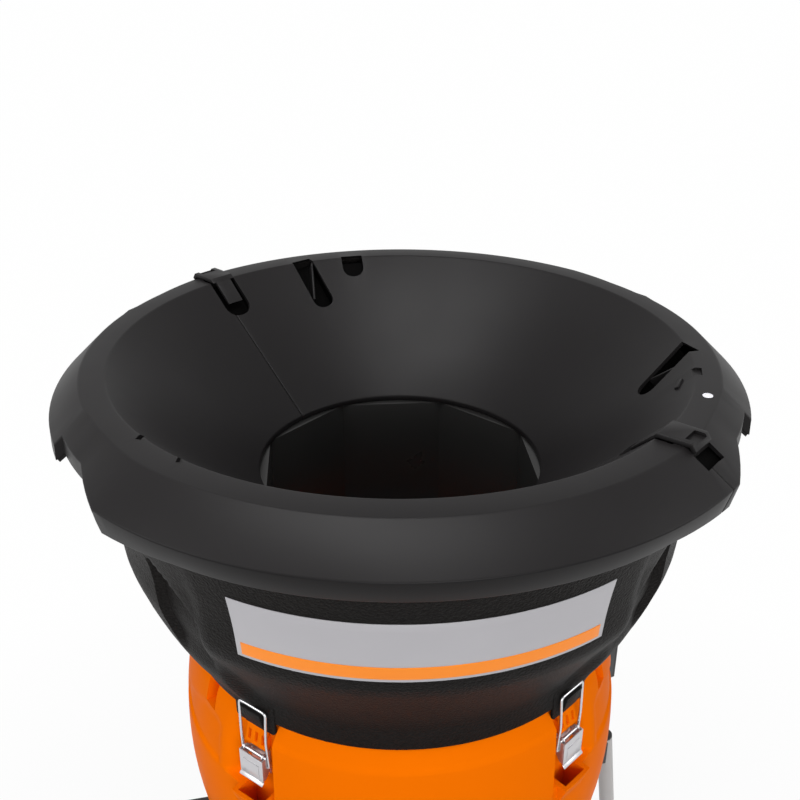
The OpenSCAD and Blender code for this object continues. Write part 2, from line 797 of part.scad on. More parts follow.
module drive_shaft() color([0.7, 0.7, 0.72]) translate([0, 0, z_pod + pod_floor + boss_h - bearing_w])
    cylinder(h = z_head + head_h + nut_h + shaft_top - z_pod - pod_floor - boss_h + bearing_w, r = shaft_r);

module bearing() difference() {
    cylinder(h = bearing_w, r = bearing_r);
    translate([0, 0, -over]) cylinder(h = bearing_w + 2 * over, r = shaft_r + run);
}
module upper_bearing() color([0.75, 0.75, 0.77])
    translate([0, 0, z_hub + hub_t + boss_h - bearing_w - seal_t]) bearing();
module lower_bearing() color([0.75, 0.75, 0.77])
    translate([0, 0, z_pod + pod_floor + boss_h - bearing_w]) bearing();

module dust_seal() color([0.06, 0.06, 0.06])
    translate([0, 0, z_hub + hub_t + boss_h - seal_t]) difference() {
        cylinder(h = seal_t, r = bearing_r);
        translate([0, 0, -over]) cylinder(h = seal_t + 2 * over, r = shaft_r + gap);
    }

module brush_holders() color([0.75, 0.6, 0.3]) for (a = [0, 180]) at(a) intersection() {
    difference() {
        box([comm_r + holder_wall, -brush_w / 2 - holder_wall, z_brush - brush_h / 2 - holder_wall],
            [pod_r, brush_w / 2 + holder_wall, z_brush + brush_h / 2 + holder_wall]);
        box([comm_r, -brush_w / 2 - run, z_brush - brush_h / 2 - run],
            [pod_r - 5 * holder_wall, brush_w / 2 + run, z_brush + brush_h / 2 + run]);
    }
    translate([0, 0, z_pod]) cylinder(h = pod_h, r = pod_r - pod_wall - run);
}

module carbon_brushes() color([0.15, 0.15, 0.16]) for (a = [0, 180]) at(a)
    box([comm_r + gap, -brush_w / 2, z_brush - brush_h / 2],
        [2 * comm_r, brush_w / 2, z_brush + brush_h / 2]);

module cooling_fan() color([0.15, 0.15, 0.16]) translate([0, 0, z_fan]) difference() {
    union() {
        cylinder(h = fan_disc, r = fan_r);
        cylinder(h = fan_h, r = comm_r);
        for (i = [0 : fan_blades - 1]) at(i * 360 / fan_blades)
            box([comm_r - over, -fan_disc / 2, 0], [fan_r - fan_disc, fan_disc / 2, fan_h]);
    }
    translate([0, 0, -over]) cylinder(h = fan_h + 2 * over, r = shaft_r + run);
}

module line_head() color([0.14, 0.14, 0.15]) translate([0, 0, z_head]) difference() {
    on_shaft(head_r, head_h);
    for (i = [0 : line_count - 1]) at(i * 360 / line_count + line_a)
        translate([0, 0, head_h / 2]) rod_x(line_d / 2 + run, head_r / 2 - run, head_r + over);
}

module cutting_lines() color([0.85, 0.45, 0.1]) translate([0, 0, z_head + head_h / 2])
    for (i = [0 : line_count - 1]) at(i * 360 / line_count + line_a)
        rod_x(line_d / 2, head_r / 2, line_reach);

module head_nut() color([0.65, 0.65, 0.67]) translate([0, 0, z_head + head_h]) difference() {
    cylinder(h = nut_h, r = nut_r, $fn = 6);
    translate([0, 0, -over]) cylinder(h = nut_h + 2 * over, r = shaft_r + run);
}

// Legs

// Places a shape on leg i's axis, with +Z running down the leg from its top
module on_leg(i) at(leg_a + 90 * i) translate([leg_top_r, 0, z_leg]) rotate([0, 180 - splay, 0]) children();

module leg(i) color([0.7, 0.7, 0.7]) difference() {
    on_leg(i) difference() {
        cylinder(h = leg_l, r = leg_r);
        translate([0, 0, -over]) cylinder(h = leg_l + 2 * over, r = leg_r - leg_wall);
    }
    clamp_holes(i, bolt_r + run);
}
module leg_1() leg(0);
module leg_2() leg(1);
module leg_3() leg(2);
module leg_4() leg(3);

// Distance of the leg's axis from the drum's axis at height z
function leg_axis(z) = leg_top_r + (z_leg - z) * tan(splay);

// Heights of a leg's two bolts, and where their heads rest inside the drum's wall
bolt_levels = [for (side = [-1, 1]) z_clamp + clamp_h / 2 + side * bolt_pitch / 2];
function head_seat(z) = barrel_at(z - bolt_head_r) - drum_wall - gap;

module clamp_holes(i, r) at(leg_a + 90 * i) for (z = bolt_levels)
    translate([0, 0, z]) rod_x(r, head_seat(z) - over, leg_axis(z));

module leg_clamps() color([0.1, 0.1, 0.1]) for (i = [0 : 3]) difference() {
    at(leg_a + 90 * i)
        box([barrel(0) - over, -clamp_w / 2, z_clamp], [leg_top_r, clamp_w / 2, z_clamp + clamp_h]);
    clamp_holes(i, bolt_r + run);
    drum_fill(gap);
    on_leg(i) cylinder(h = leg_l, r = leg_r + run);
}

module clamp_bolts() color([0.6, 0.6, 0.62]) for (i = [0 : 3], z = bolt_levels)
    at(leg_a + 90 * i) translate([0, 0, z]) {
        rod_x(bolt_r, head_seat(z), leg_axis(z));
        rod_x(bolt_head_r, head_seat(z) - bolt_head_h, head_seat(z));
    }

module leg_plugs() color([0.08, 0.08, 0.08]) for (i = [0 : 3]) on_leg(i) {
    translate([0, 0, -plug_h]) cylinder(h = plug_h, r = leg_r);
    cylinder(h = plug_l, r = leg_r - leg_wall - run);
}

module feet() color([0.07, 0.07, 0.07]) for (i = [0 : 3]) difference() {
    union() {
        at(leg_a + 90 * i) translate([leg_axis(0), 0, 0]) cylinder(h = leg_floor, r = foot_r);
        intersection() {
            on_leg(i) translate([0, 0, leg_l - foot_h]) cylinder(h = 2 * foot_h, r = leg_r + foot_wall);
            translate([-half_box, -half_box, 0]) cube([2 * half_box, 2 * half_box, rim_h]);
        }
    }
    on_leg(i) cylinder(h = leg_l, r = leg_r + run);
}

// Switch box

module switch_place() at(switch_angle) translate([0, 0, z_switch]) children();

module switch_box() color([0.1, 0.1, 0.1]) difference() {
    switch_place() difference() {
        box([barrel(0), -switch_w / 2, 0], [switch_out, switch_w / 2, switch_h]);
        box([cavity_r, box_wall - switch_w / 2, box_wall],
            [switch_out + over, switch_w / 2 - box_wall, switch_h - box_wall]);
        translate([0, 0, z_lead - z_switch]) rod_x(lead_r + gap, barrel(0), cavity_r + over);
    }
    drum_fill(gap);
}

module button_places(n)
    translate([0, button_y_shares[n] * switch_w, button_z_shares[n] * switch_h]) children();

module switch_cover() color([0.14, 0.14, 0.14]) switch_place() difference() {
    box([switch_out, -switch_w / 2, 0], [switch_out + cover_t, switch_w / 2, switch_h]);
    for (n = [0 : 2]) button_places(n)
        rod_x(button_radii[n] + gap, switch_out - over, switch_out + cover_t + over);
    cover_corners() rod_x(screw_r / 2 + gap, switch_out - over, switch_out + cover_t + over);
}

module cover_corners() for (y = [-1, 1], z = [corner_in, switch_h - corner_in])
    translate([0, y * (switch_w / 2 - corner_in), z]) children();

module cover_screws() color([0.55, 0.55, 0.57]) switch_place() cover_corners() {
    rod_x(screw_r / 2, switch_out, switch_out + cover_t);
    rod_x(screw_r, switch_out + cover_t, switch_out + cover_t + screw_r);
}

module button(n) switch_place() button_places(n) {
    rod_x(button_radii[n], switch_out - flange_t - gap, switch_out + cover_t + button_out);
    rod_x(button_radii[n] + button_flange, switch_out - flange_t - gap, switch_out - gap);
}
module start_button() color([0.1, 0.55, 0.2]) button(0);
module stop_button() color([0.8, 0.08, 0.06]) button(1);
module reset_button() color([0.1, 0.1, 0.1]) button(2);

module switch_block() color([0.2, 0.2, 0.22]) switch_place()
    box([cavity_r, -block_w / 2, (switch_h - block_h) / 2],
        [switch_out - flange_t - gap - press - gap, block_w / 2, (switch_h + block_h) / 2]);

inlet_x = (cavity_r + switch_out) / 2;
module power_inlet() color([0.08, 0.08, 0.08]) switch_place() difference() {
    box([inlet_x - inlet_d / 2, -inlet_w / 2, -inlet_h], [inlet_x + inlet_d / 2, inlet_w / 2, 0]);
    box([inlet_x - inlet_d / 2 + inlet_wall, inlet_wall - inlet_w / 2, -inlet_h - over],
        [inlet_x + inlet_d / 2 - inlet_wall, inlet_w / 2 - inlet_wall, -inlet_wall]);
}

module inlet_pins() color([0.8, 0.65, 0.3]) switch_place() for (side = [-1, 1])
    box([inlet_x - prong_w / 2, side * prong_pitch / 2 - prong_t / 2, -inlet_wall - prong_l],
        [inlet_x + prong_w / 2, side * prong_pitch / 2 + prong_t / 2, -inlet_wall]);

module cable_conduit() color([0.12, 0.12, 0.12]) at(switch_angle) translate([0, 0, z_lead]) difference() {
    rod_x(conduit_r, pod_r + gap, barrel_at(z_lead) - drum_wall - over);
    rod_x(lead_r + gap, pod_r, drum_r);
}

module motor_lead() color([0.05, 0.05, 0.05]) at(switch_angle) translate([0, 0, z_lead])
    rod_x(lead_r, pod_r - pod_wall - over, cavity_r);

hopper_front_half();
hopper_rear_half();
rim_clip_right();
rim_clip_left();
hopper_bowl();
throat_chute();
bowl_gasket();
badge_plate();
badge_stripe();
chute_screws();
drum_housing();
bag_neck();
motor_spider();
spider_screws();
motor_pod();
stator_core();
field_windings();
rotor_core();
commutator();
drive_shaft();
upper_bearing();
lower_bearing();
brush_holders();
carbon_brushes();
cooling_fan();
dust_seal();
line_head();
head_nut();
cutting_lines();
latch_brackets();
latch_pins();
latch_lever_1();
latch_lever_2();
latch_lever_3();
latch_lever_4();
latch_bail_1();
latch_bail_2();
latch_bail_3();
latch_bail_4();
leg_1();
leg_2();
leg_3();
leg_4();
leg_clamps();
clamp_bolts();
leg_plugs();
feet();
switch_box();
switch_cover();
start_button();
stop_button();
reset_button();
switch_block();
power_inlet();
inlet_pins();
cable_conduit();
motor_lead();
cover_screws();
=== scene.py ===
# %% [markdown]
# # Dressing a leaf shredder
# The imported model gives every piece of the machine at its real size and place. This lesson gives those
# pieces the looks of the real machine: moulded black plastic for the hopper, an orange drum, bright
# steel latches and painted tube legs. Each step says what the piece is, how it could be made in Blender,
# and why it is made the way it is here. All lengths are metres, and azimuths are degrees from the front
# (towards -Y) round to the right (+X). Names that end in _A are angles in degrees.

# %% Load the fixed frame
import json
import math
from collections import namedtuple

import bmesh
import bpy
from mathutils import Matrix, Vector


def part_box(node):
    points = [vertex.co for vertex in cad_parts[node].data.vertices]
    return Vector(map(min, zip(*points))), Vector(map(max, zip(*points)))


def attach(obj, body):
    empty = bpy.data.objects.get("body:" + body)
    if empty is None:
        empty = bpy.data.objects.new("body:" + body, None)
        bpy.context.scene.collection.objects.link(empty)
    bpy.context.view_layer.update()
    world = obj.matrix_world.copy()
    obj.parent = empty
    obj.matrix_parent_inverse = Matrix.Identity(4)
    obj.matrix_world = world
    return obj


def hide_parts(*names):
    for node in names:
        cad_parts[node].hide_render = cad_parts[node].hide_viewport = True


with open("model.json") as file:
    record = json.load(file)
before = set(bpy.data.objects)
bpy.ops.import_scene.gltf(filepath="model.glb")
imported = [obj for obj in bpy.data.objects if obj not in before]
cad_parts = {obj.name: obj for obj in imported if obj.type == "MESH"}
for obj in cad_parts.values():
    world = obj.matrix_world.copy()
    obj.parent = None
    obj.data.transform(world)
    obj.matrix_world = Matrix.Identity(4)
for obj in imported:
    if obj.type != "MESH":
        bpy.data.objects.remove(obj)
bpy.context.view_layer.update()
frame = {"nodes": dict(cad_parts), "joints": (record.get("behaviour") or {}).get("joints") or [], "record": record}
cad_nodes = frame["nodes"]
joint_of = {joint["name"]: joint for joint in frame["joints"]}

# %% [markdown]
# ## The camera
# A camera can be placed by eye, or worked out from circles whose real shape is known. The hopper's rim
# is a circle, so its ellipse in the picture gives the height, the pitch and the focal length together.

# %% Camera
camera_data = bpy.data.cameras.new("studio_camera")
camera_data.sensor_width = 36.0
camera_data.lens = 44.44
camera = bpy.data.objects.new("studio_camera", camera_data)
camera.location = (-0.0656, -0.8720, 1.3378)
camera.rotation_euler = (math.radians(63.48), 0.0, math.radians(-4.3))
bpy.context.scene.collection.objects.link(camera)
bpy.context.scene.camera = camera
bpy.context.scene.view_settings.view_transform = "Standard"
print("Camera height:", camera.location.z, "lens:", camera_data.lens)

# %% [markdown]
# ## A plain white studio
# A white surround could be made with strong lamps, but then black plastic turns grey. Instead the lamps
# stay at a plain level, and the floor and the world turn white only for the rays that look at them:
# camera, glossy and transmission rays. The floor mixes that white with a lit surface, so it still takes
# the machine's shadow.

# %% Node helpers
def feed(tree, socket, value):
    """Links an output to an input, or sets the input to a plain value."""
    if isinstance(value, bpy.types.NodeSocket):
        tree.links.new(value, socket)
    else:
        socket.default_value = value


def math_node(tree, operation, *values, clamp=False):
    """Adds a Math node and gives its output."""
    node = tree.nodes.new("ShaderNodeMath")
    node.operation = operation
    node.use_clamp = clamp
    for socket, value in zip(node.inputs, values):
        feed(tree, socket, value)
    return node.outputs[0]


def map_range(tree, value, from_min, from_max, to_min=0.0, to_max=1.0):
    """Adds a Map Range node and gives its output."""
    node = tree.nodes.new("ShaderNodeMapRange")
    tree.links.new(value, node.inputs["Value"])
    ends = {"From Min": from_min, "From Max": from_max, "To Min": to_min, "To Max": to_max}
    for socket, end in ends.items():
        node.inputs[socket].default_value = end
    return node.outputs["Result"]


def mix_shaders(tree, share, lit, white, output):
    """Sends a lit shader and a white one to the output node, mixed by a share of white."""
    mix = tree.nodes.new("ShaderNodeMixShader")
    tree.links.new(share, mix.inputs["Fac"])
    tree.links.new(lit.outputs[0], mix.inputs[1])
    tree.links.new(white.outputs[0], mix.inputs[2])
    tree.links.new(mix.outputs[0], tree.nodes[output].inputs["Surface"])


def background_rays(tree):
    """Adds nodes whose output is 1 on camera, glossy and transmission rays."""
    path = tree.nodes.new("ShaderNodeLightPath")
    total = path.outputs["Is Camera Ray"]
    for ray in ("Is Glossy Ray", "Is Transmission Ray"):
        total = math_node(tree, "MAXIMUM", total, path.outputs[ray])
    return total


# %% World
CLIMB_LOW, CLIMB_HIGH = -0.02, 0.5
HORIZON, ZENITH = 0.06, 0.55
world = bpy.data.worlds.new("studio_world")
world.use_nodes = True
bpy.context.scene.world = world
world_tree = world.node_tree
ambient = world_tree.nodes["Background"]
ambient.inputs["Color"].default_value = (0.9, 0.92, 0.95, 1.0)
skyward = world_tree.nodes.new("ShaderNodeTexCoord")
split = world_tree.nodes.new("ShaderNodeSeparateXYZ")
world_tree.links.new(skyward.outputs["Generated"], split.inputs[0])
climb = map_range(world_tree, split.outputs["Z"], CLIMB_LOW, CLIMB_HIGH, HORIZON, ZENITH)
world_tree.links.new(climb, ambient.inputs["Strength"])
white_world = world_tree.nodes.new("ShaderNodeBackground")
white_world.inputs["Color"].default_value = (1.0, 1.0, 1.0, 1.0)
white_world.inputs["Strength"].default_value = 1.0
mix_shaders(world_tree, background_rays(world_tree), ambient, white_world, "World Output")
print("World strength from horizon to zenith:", HORIZON, ZENITH)

# %% Floor
FLOOR_HALF = 60.0
NEAR, FAR = 0.3, 1.1
WHITE_NEAR, WHITE_FAR = 0.94, 0.995
floor_bm = bmesh.new()
bmesh.ops.create_grid(floor_bm, x_segments=1, y_segments=1, size=FLOOR_HALF)
floor_mesh = bpy.data.meshes.new("studio_floor")
floor_bm.to_mesh(floor_mesh)
floor_bm.free()
floor = bpy.data.objects.new("studio_floor", floor_mesh)
bpy.context.scene.collection.objects.link(floor)

floor_paint = bpy.data.materials.new("studio_floor")
floor_paint.use_nodes = True
floor_tree = floor_paint.node_tree
lit_floor = floor_tree.nodes["Principled BSDF"]
lit_floor.inputs["Base Color"].default_value = (0.25, 0.25, 0.25, 1.0)
lit_floor.inputs["Roughness"].default_value = 0.9
glow = floor_tree.nodes.new("ShaderNodeEmission")
glow.inputs["Strength"].default_value = 1.0
spot = floor_tree.nodes.new("ShaderNodeTexCoord")
away = floor_tree.nodes.new("ShaderNodeVectorMath")
away.operation = "LENGTH"
floor_tree.links.new(spot.outputs["Object"], away.inputs[0])
whiteness = map_range(floor_tree, away.outputs["Value"], NEAR, FAR, WHITE_NEAR, WHITE_FAR)
white_share = math_node(floor_tree, "MULTIPLY", background_rays(floor_tree), whiteness)
mix_shaders(floor_tree, white_share, lit_floor, glow, "Material Output")
floor.data.materials.append(floor_paint)
print("Floor half size:", FLOOR_HALF)

# %% Softboxes
AIM = Vector((0.0, 0.0, 0.78))
SOFTBOXES = {
    # name: (place, width, height, power)
    "left_box": ((-1.7, -0.7, 1.75), 0.9, 1.3, 15.0),
    "right_box": ((1.8, -0.5, 1.7), 0.7, 1.2, 9.0),
    "top_box": ((-0.2, -0.3, 2.6), 1.5, 0.7, 39.0),
    "front_box": ((0.1, -2.5, 1.35), 1.6, 0.9, 36.0),
}
for name, (place, width, height, power) in SOFTBOXES.items():
    lamp = bpy.data.lights.new(name, "AREA")
    lamp.shape = "RECTANGLE"
    lamp.size = width
    lamp.size_y = height
    lamp.energy = power
    lamp_object = bpy.data.objects.new(name, lamp)
    lamp_object.location = place
    lamp_object.rotation_euler = (AIM - Vector(place)).to_track_quat("-Z", "Y").to_euler()
    bpy.context.scene.collection.objects.link(lamp_object)
print("Softboxes:", len(SOFTBOXES))

# %% [markdown]
# ## Shared surface effects
# Moulded plastic is never one flat colour. Three effects return in most finishes here, so each is a
# node group with named sockets: a fine mould grain, a broad mottle of the colour, and wear that lightens
# sharp edges. The groups only put out masks, colours and heights. The shaders stay in the materials.

# %% Node group helpers
FLOAT, COLOUR = "NodeSocketFloat", "NodeSocketColor"
BLACK, WHITE = (0, 0, 0, 1), (1, 1, 1, 1)


def effect_group(name, inputs, outputs):
    """An empty shader group with its sockets, and its two end nodes."""
    group = bpy.data.node_groups.new(name, "ShaderNodeTree")
    for socket, kind, value in inputs:
        made = group.interface.new_socket(socket, in_out="INPUT", socket_type=kind)
        made.default_value = value
    for socket, kind in outputs:
        group.interface.new_socket(socket, in_out="OUTPUT", socket_type=kind)
    return group, group.nodes.new("NodeGroupInput"), group.nodes.new("NodeGroupOutput")


def noise_on_object(group, detail, scale):
    """Adds a noise texture on Object coordinates and gives its output."""
    place = group.nodes.new("ShaderNodeTexCoord")
    noise = group.nodes.new("ShaderNodeTexNoise")
    noise.inputs["Detail"].default_value = detail
    feed(group, noise.inputs["Scale"], scale)
    group.links.new(place.outputs["Object"], noise.inputs["Vector"])
    return noise.outputs["Fac"]


def mix_colours(group, share, first, second):
    """Adds a Mix node for colours and gives its output."""
    mix = group.nodes.new("ShaderNodeMix")
    mix.data_type = "RGBA"
    for socket, value in (("Factor", share), ("A", first), ("B", second)):
        group.links.new(value, mix.inputs[socket])
    return mix.outputs["Result"]


# %% Mould grain
SMEAR_SCALE = 14.0
grain_group, grain_in, grain_out = effect_group(
    "mould_grain",
    [("Scale", FLOAT, 900.0), ("Roughness", FLOAT, 0.4), ("Spread", FLOAT, 0.1)],
    [("Height", FLOAT), ("Roughness", FLOAT)],
)
height = noise_on_object(grain_group, 3.0, grain_in.outputs["Scale"])
smear = math_node(grain_group, "SUBTRACT", noise_on_object(grain_group, 4.0, SMEAR_SCALE), 0.5)
spread, level = grain_in.outputs["Spread"], grain_in.outputs["Roughness"]
roughness = math_node(grain_group, "MULTIPLY_ADD", smear, spread, level)
grain_group.links.new(height, grain_out.inputs["Height"])
grain_group.links.new(roughness, grain_out.inputs["Roughness"])
print("Group:", grain_group.name)

# %% Mottle
mottle_group, mottle_in, mottle_out = effect_group(
    "colour_mottle",
    [("Scale", FLOAT, 8.0), ("Deep", COLOUR, BLACK), ("Light", COLOUR, WHITE)],
    [("Color", COLOUR)],
)
clouds = noise_on_object(mottle_group, 5.0, mottle_in.outputs["Scale"])
mottled = mix_colours(mottle_group, clouds, mottle_in.outputs["Deep"], mottle_in.outputs["Light"])
mottle_group.links.new(mottled, mottle_out.inputs["Color"])
print("Group:", mottle_group.name)

# %% Edge wear
RIDGE_START, RIDGE_END = 0.52, 0.62
PATCH_SCALE = 45.0
wear_group, wear_in, wear_out = effect_group(
    "edge_wear",
    [("Color", COLOUR, BLACK), ("Worn", COLOUR, WHITE), ("Amount", FLOAT, 0.3)],
    [("Color", COLOUR)],
)
shape = wear_group.nodes.new("ShaderNodeNewGeometry")
ridge = map_range(wear_group, shape.outputs["Pointiness"], RIDGE_START, RIDGE_END)
broken = math_node(wear_group, "MULTIPLY", ridge, noise_on_object(wear_group, 6.0, PATCH_SCALE))
level = math_node(wear_group, "MULTIPLY", broken, wear_in.outputs["Amount"], clamp=True)
worn_colour = mix_colours(wear_group, level, wear_in.outputs["Color"], wear_in.outputs["Worn"])
wear_group.links.new(worn_colour, wear_out.inputs["Color"])
print("Group:", wear_group.name)

# %% [markdown]
# ## The finishes
# A finish is one Principled shader with the three effects in front of it. The table holds what differs
# from one finish to the next: the two colours that the mottle moves between, the roughness and how much
# it wanders, the grain's size and depth, and the plain values that go straight on the shader.

# %% Finish maker
def place_group(tree, group, **values):
    node = tree.nodes.new("ShaderNodeGroup")
    node.node_tree = group
    for socket, value in values.items():
        node.inputs[socket].default_value = value
    return node


def finish(name, deep, light, rough, spread=0.08, grain=900.0, depth=0.02, mottle=9.0,
           wear=0.0, worn=(0.4, 0.4, 0.4), metallic=0.0, specular=0.5, tint=(1.0, 1.0, 1.0), coat=0.0):
    """A procedural material. Colours are linear."""
    made = bpy.data.materials.new(name)
    made.use_nodes = True
    tree = made.node_tree
    shader = tree.nodes["Principled BSDF"]
    shader.inputs["Metallic"].default_value = metallic
    shader.inputs["Specular IOR Level"].default_value = specular
    shader.inputs["Specular Tint"].default_value = (*tint, 1.0)
    shader.inputs["Coat Weight"].default_value = coat
    shader.inputs["Coat Roughness"].default_value = 0.12
    colour = place_group(tree, mottle_group, Scale=mottle, Deep=(*deep, 1.0), Light=(*light, 1.0))
    edges = place_group(tree, wear_group, Worn=(*worn, 1.0), Amount=wear)
    surface = place_group(tree, grain_group, Scale=grain, Roughness=rough, Spread=spread)
    bump = tree.nodes.new("ShaderNodeBump")
    bump.inputs["Strength"].default_value = 1.0
    bump.inputs["Distance"].default_value = depth * 0.001
    tree.links.new(colour.outputs["Color"], edges.inputs["Color"])
    tree.links.new(edges.outputs["Color"], shader.inputs["Base Color"])
    tree.links.new(surface.outputs["Roughness"], shader.inputs["Roughness"])
    tree.links.new(surface.outputs["Height"], bump.inputs["Height"])
    tree.links.new(bump.outputs["Normal"], shader.inputs["Normal"])
    return made


# %% Finishes of this machine, by material slot
FINISHES = {
    "hopper_smooth": dict(deep=(0.0058, 0.0052, 0.0054), light=(0.0078, 0.0071, 0.0073), rough=0.42,
        spread=0.1, grain=1500.0, depth=0.02, wear=0.25, worn=(0.05, 0.05, 0.05), specular=0.095),
    # The bowl's fine speckle, from near black to dark grey at mottle scale 430, is partly its moulded grain and
    # partly painted glints of the textured surface.
    "bowl_grain": dict(deep=(0.0004, 0.0003, 0.0003), light=(0.0175, 0.0158, 0.015), rough=0.48, spread=0.1,
        grain=430.0, depth=1.6, mottle=430.0, wear=0.2, worn=(0.04, 0.04, 0.04), specular=0.042),
    "chute_black": dict(deep=(0.0075, 0.0075, 0.0075), light=(0.012, 0.0115, 0.011), rough=0.3, spread=0.15,
        grain=900.0, depth=0.02, specular=0.3),
    "drum_orange": dict(deep=(0.84, 0.153, 0.0003), light=(0.92, 0.172, 0.0006), rough=0.38, spread=0.1,
        grain=1300.0, depth=0.03, mottle=5.0, wear=0.12, worn=(0.95, 0.3, 0.01), specular=0.004,
        tint=(1.0, 0.25, 0.01)),
    "badge_silver": dict(deep=(0.4, 0.39, 0.41), light=(0.46, 0.45, 0.47), rough=0.4, spread=0.08,
        grain=2500.0, depth=0.015, metallic=0.25),
    "badge_orange": dict(deep=(0.88, 0.23, 0.004), light=(0.95, 0.26, 0.006), rough=0.38, spread=0.06,
        grain=2500.0, depth=0.015),
    "latch_steel": dict(deep=(0.5, 0.49, 0.5), light=(0.6, 0.59, 0.61), rough=0.3, spread=0.16, grain=700.0,
        depth=0.03, mottle=30.0, metallic=0.85, wear=0.3, worn=(0.8, 0.8, 0.82)),
    "wire_steel": dict(deep=(0.55, 0.55, 0.57), light=(0.66, 0.66, 0.68), rough=0.22, spread=0.12,
        grain=1200.0, depth=0.02, mottle=40.0, metallic=0.9),
    "fastener_steel": dict(deep=(0.36, 0.36, 0.37), light=(0.5, 0.5, 0.52), rough=0.34, spread=0.18,
        grain=900.0, depth=0.03, mottle=60.0, metallic=0.9),
    "leg_grey": dict(deep=(0.4, 0.385, 0.375), light=(0.46, 0.445, 0.435), rough=0.38, spread=0.1,
        grain=800.0, depth=0.05, mottle=12.0, wear=0.2, worn=(0.6, 0.6, 0.6), specular=0.5, coat=0.2),
    "black_plastic": dict(deep=(0.011, 0.011, 0.0115), light=(0.018, 0.018, 0.0185), rough=0.45,
        spread=0.12, grain=700.0, depth=0.12, wear=0.2, worn=(0.06, 0.06, 0.06), specular=0.4),
    "rubber": dict(deep=(0.008, 0.008, 0.008), light=(0.017, 0.0165, 0.016), rough=0.75, spread=0.15,
        grain=500.0, depth=0.15, mottle=25.0, specular=0.25),
    "electrical_steel": dict(deep=(0.13, 0.13, 0.14), light=(0.2, 0.2, 0.21), rough=0.45, spread=0.15,
        grain=1500.0, depth=0.08, metallic=0.8),
    "copper": dict(deep=(0.42, 0.15, 0.05), light=(0.6, 0.25, 0.09), rough=0.32, spread=0.12, grain=1500.0,
        depth=0.12, metallic=0.8),
    "bearing_steel": dict(deep=(0.52, 0.52, 0.54), light=(0.62, 0.62, 0.64), rough=0.2, spread=0.1,
        grain=1500.0, depth=0.02, metallic=0.95),
    "brass": dict(deep=(0.52, 0.34, 0.1), light=(0.64, 0.44, 0.15), rough=0.3, spread=0.12, grain=1500.0,
        depth=0.03, metallic=0.9),
    "carbon": dict(deep=(0.018, 0.018, 0.019), light=(0.035, 0.035, 0.036), rough=0.6, spread=0.12,
        grain=900.0, depth=0.08),
    "line_nylon": dict(deep=(0.6, 0.2, 0.02), light=(0.75, 0.28, 0.04), rough=0.32, spread=0.08,
        grain=900.0, depth=0.03),
    "start_green": dict(deep=(0.012, 0.2, 0.035), light=(0.02, 0.26, 0.05), rough=0.34, grain=1500.0,
        depth=0.02),
    "stop_red": dict(deep=(0.42, 0.01, 0.008), light=(0.52, 0.016, 0.012), rough=0.34, grain=1500.0,
        depth=0.02),
}
finishes = {slot: finish(slot, **values) for slot, values in FINISHES.items()}
slot_of_node = {part["node"]: part["material_slot"] for part in frame["record"]["subparts"]}
bodies = frame["record"]["behaviour"]["bodies"]
body_of_node = {node: body for body, group in bodies.items() for node in group}
for node, cad in cad_nodes.items():
    cad.data.materials.clear()
    cad.data.materials.append(finishes[slot_of_node[node]])
print("Finishes:", len(finishes))

# %% [markdown]
# ## Helpers for turned mouldings
# Most of this machine is turned about one upright axis. A turned piece could be a Screw modifier on a
# curve, but its lips, lobes and recesses change with the azimuth. So an outline is spun with
# bmesh.ops.spin in sectors, each with its own number of steps, and a vertex layer remembers which
# outline point a vertex came from. Moving the vertices of a row by azimuth then shapes the moulding.

# %% Turning
def on_axis(azimuth, radius, height):
    """The point at an azimuth, a radius from the machine's axis and a height."""
    turn = math.radians(azimuth)
    return Vector((radius * math.sin(turn), -radius * math.cos(turn), height))


def azimuth_of(point):
    return math.degrees(math.atan2(point.x, -point.y))


def sectors_between(azimuths, widest):
    """The steps from each azimuth to the next, none wider than widest."""
    return [(b - a, max(1, math.ceil((b - a) / widest - 1e-6))) for a, b in zip(azimuths, azimuths[1:])]


def rows_between(heights, widest):
    """Heights with no step wider than widest."""
    rows = [heights[0]]
    for low, high in zip(heights, heights[1:]):
        steps = max(1, math.ceil((high - low) / widest - 1e-6))
        rows += [low + (high - low) * (i + 1) / steps for i in range(steps)]
    return rows


def spin_outline(outline, azimuths, widest, looped=True, full=False):
    """A bmesh of an outline of (radius, height) points, spun through a rising list of azimuths."""
    bm = bmesh.new()
    row = bm.verts.layers.int.new("row")
    points = [bm.verts.new(on_axis(azimuths[0], radius, height)) for radius, height in outline]
    for index, vert in enumerate(points):
        vert[row] = index
    pairs = list(zip(points, points[1:] + points[:1] if looped else points[1:]))
    last = points + [bm.edges.new(pair) for pair in pairs]
    for angle, steps in sectors_between(azimuths, widest):
        spun = bmesh.ops.spin(bm, geom=last, cent=(0, 0, 0), axis=(0, 0, 1), angle=math.radians(angle),
                              steps=steps, use_merge=False, use_normal_flip=False, use_duplicate=False)
        last = spun["geom_last"]
    if full:
        bmesh.ops.remove_doubles(bm, verts=bm.verts, dist=1e-6)
    elif looped:
        bm.faces.new(points)
        bm.faces.new([e for e in last if isinstance(e, bmesh.types.BMVert)])
    bmesh.ops.recalc_face_normals(bm, faces=bm.faces)
    return bm, row


def blend(value, start, end):
    """0 before start, 1 after end, and an even ramp between."""
    return min(1.0, max(0.0, (value - start) / (end - start)))


def smooth_step(value, start, end):
    """As blend, with a ramp that eases in and out."""
    t = blend(value, start, end)
    return t * t * (3 - 2 * t)


def fold(azimuth):
    """Degrees from the nearer of the front and the back."""
    from_front = abs(azimuth) % 180.0
    return min(from_front, 180.0 - from_front)


def unfold(folds, low, high):
    """The azimuths from low to high that have one of these folds, with both ends."""
    turns = {round(base + side * turn, 6) for base in (-360.0, -180.0, 0.0, 180.0, 360.0)
             for side in (-1, 1) for turn in folds}
    return [low] + sorted(a for a in turns if low < a < high) + [high]


# %% Finishing a piece
SHARP = math.radians(28.0)
CREASE = math.radians(38.0)


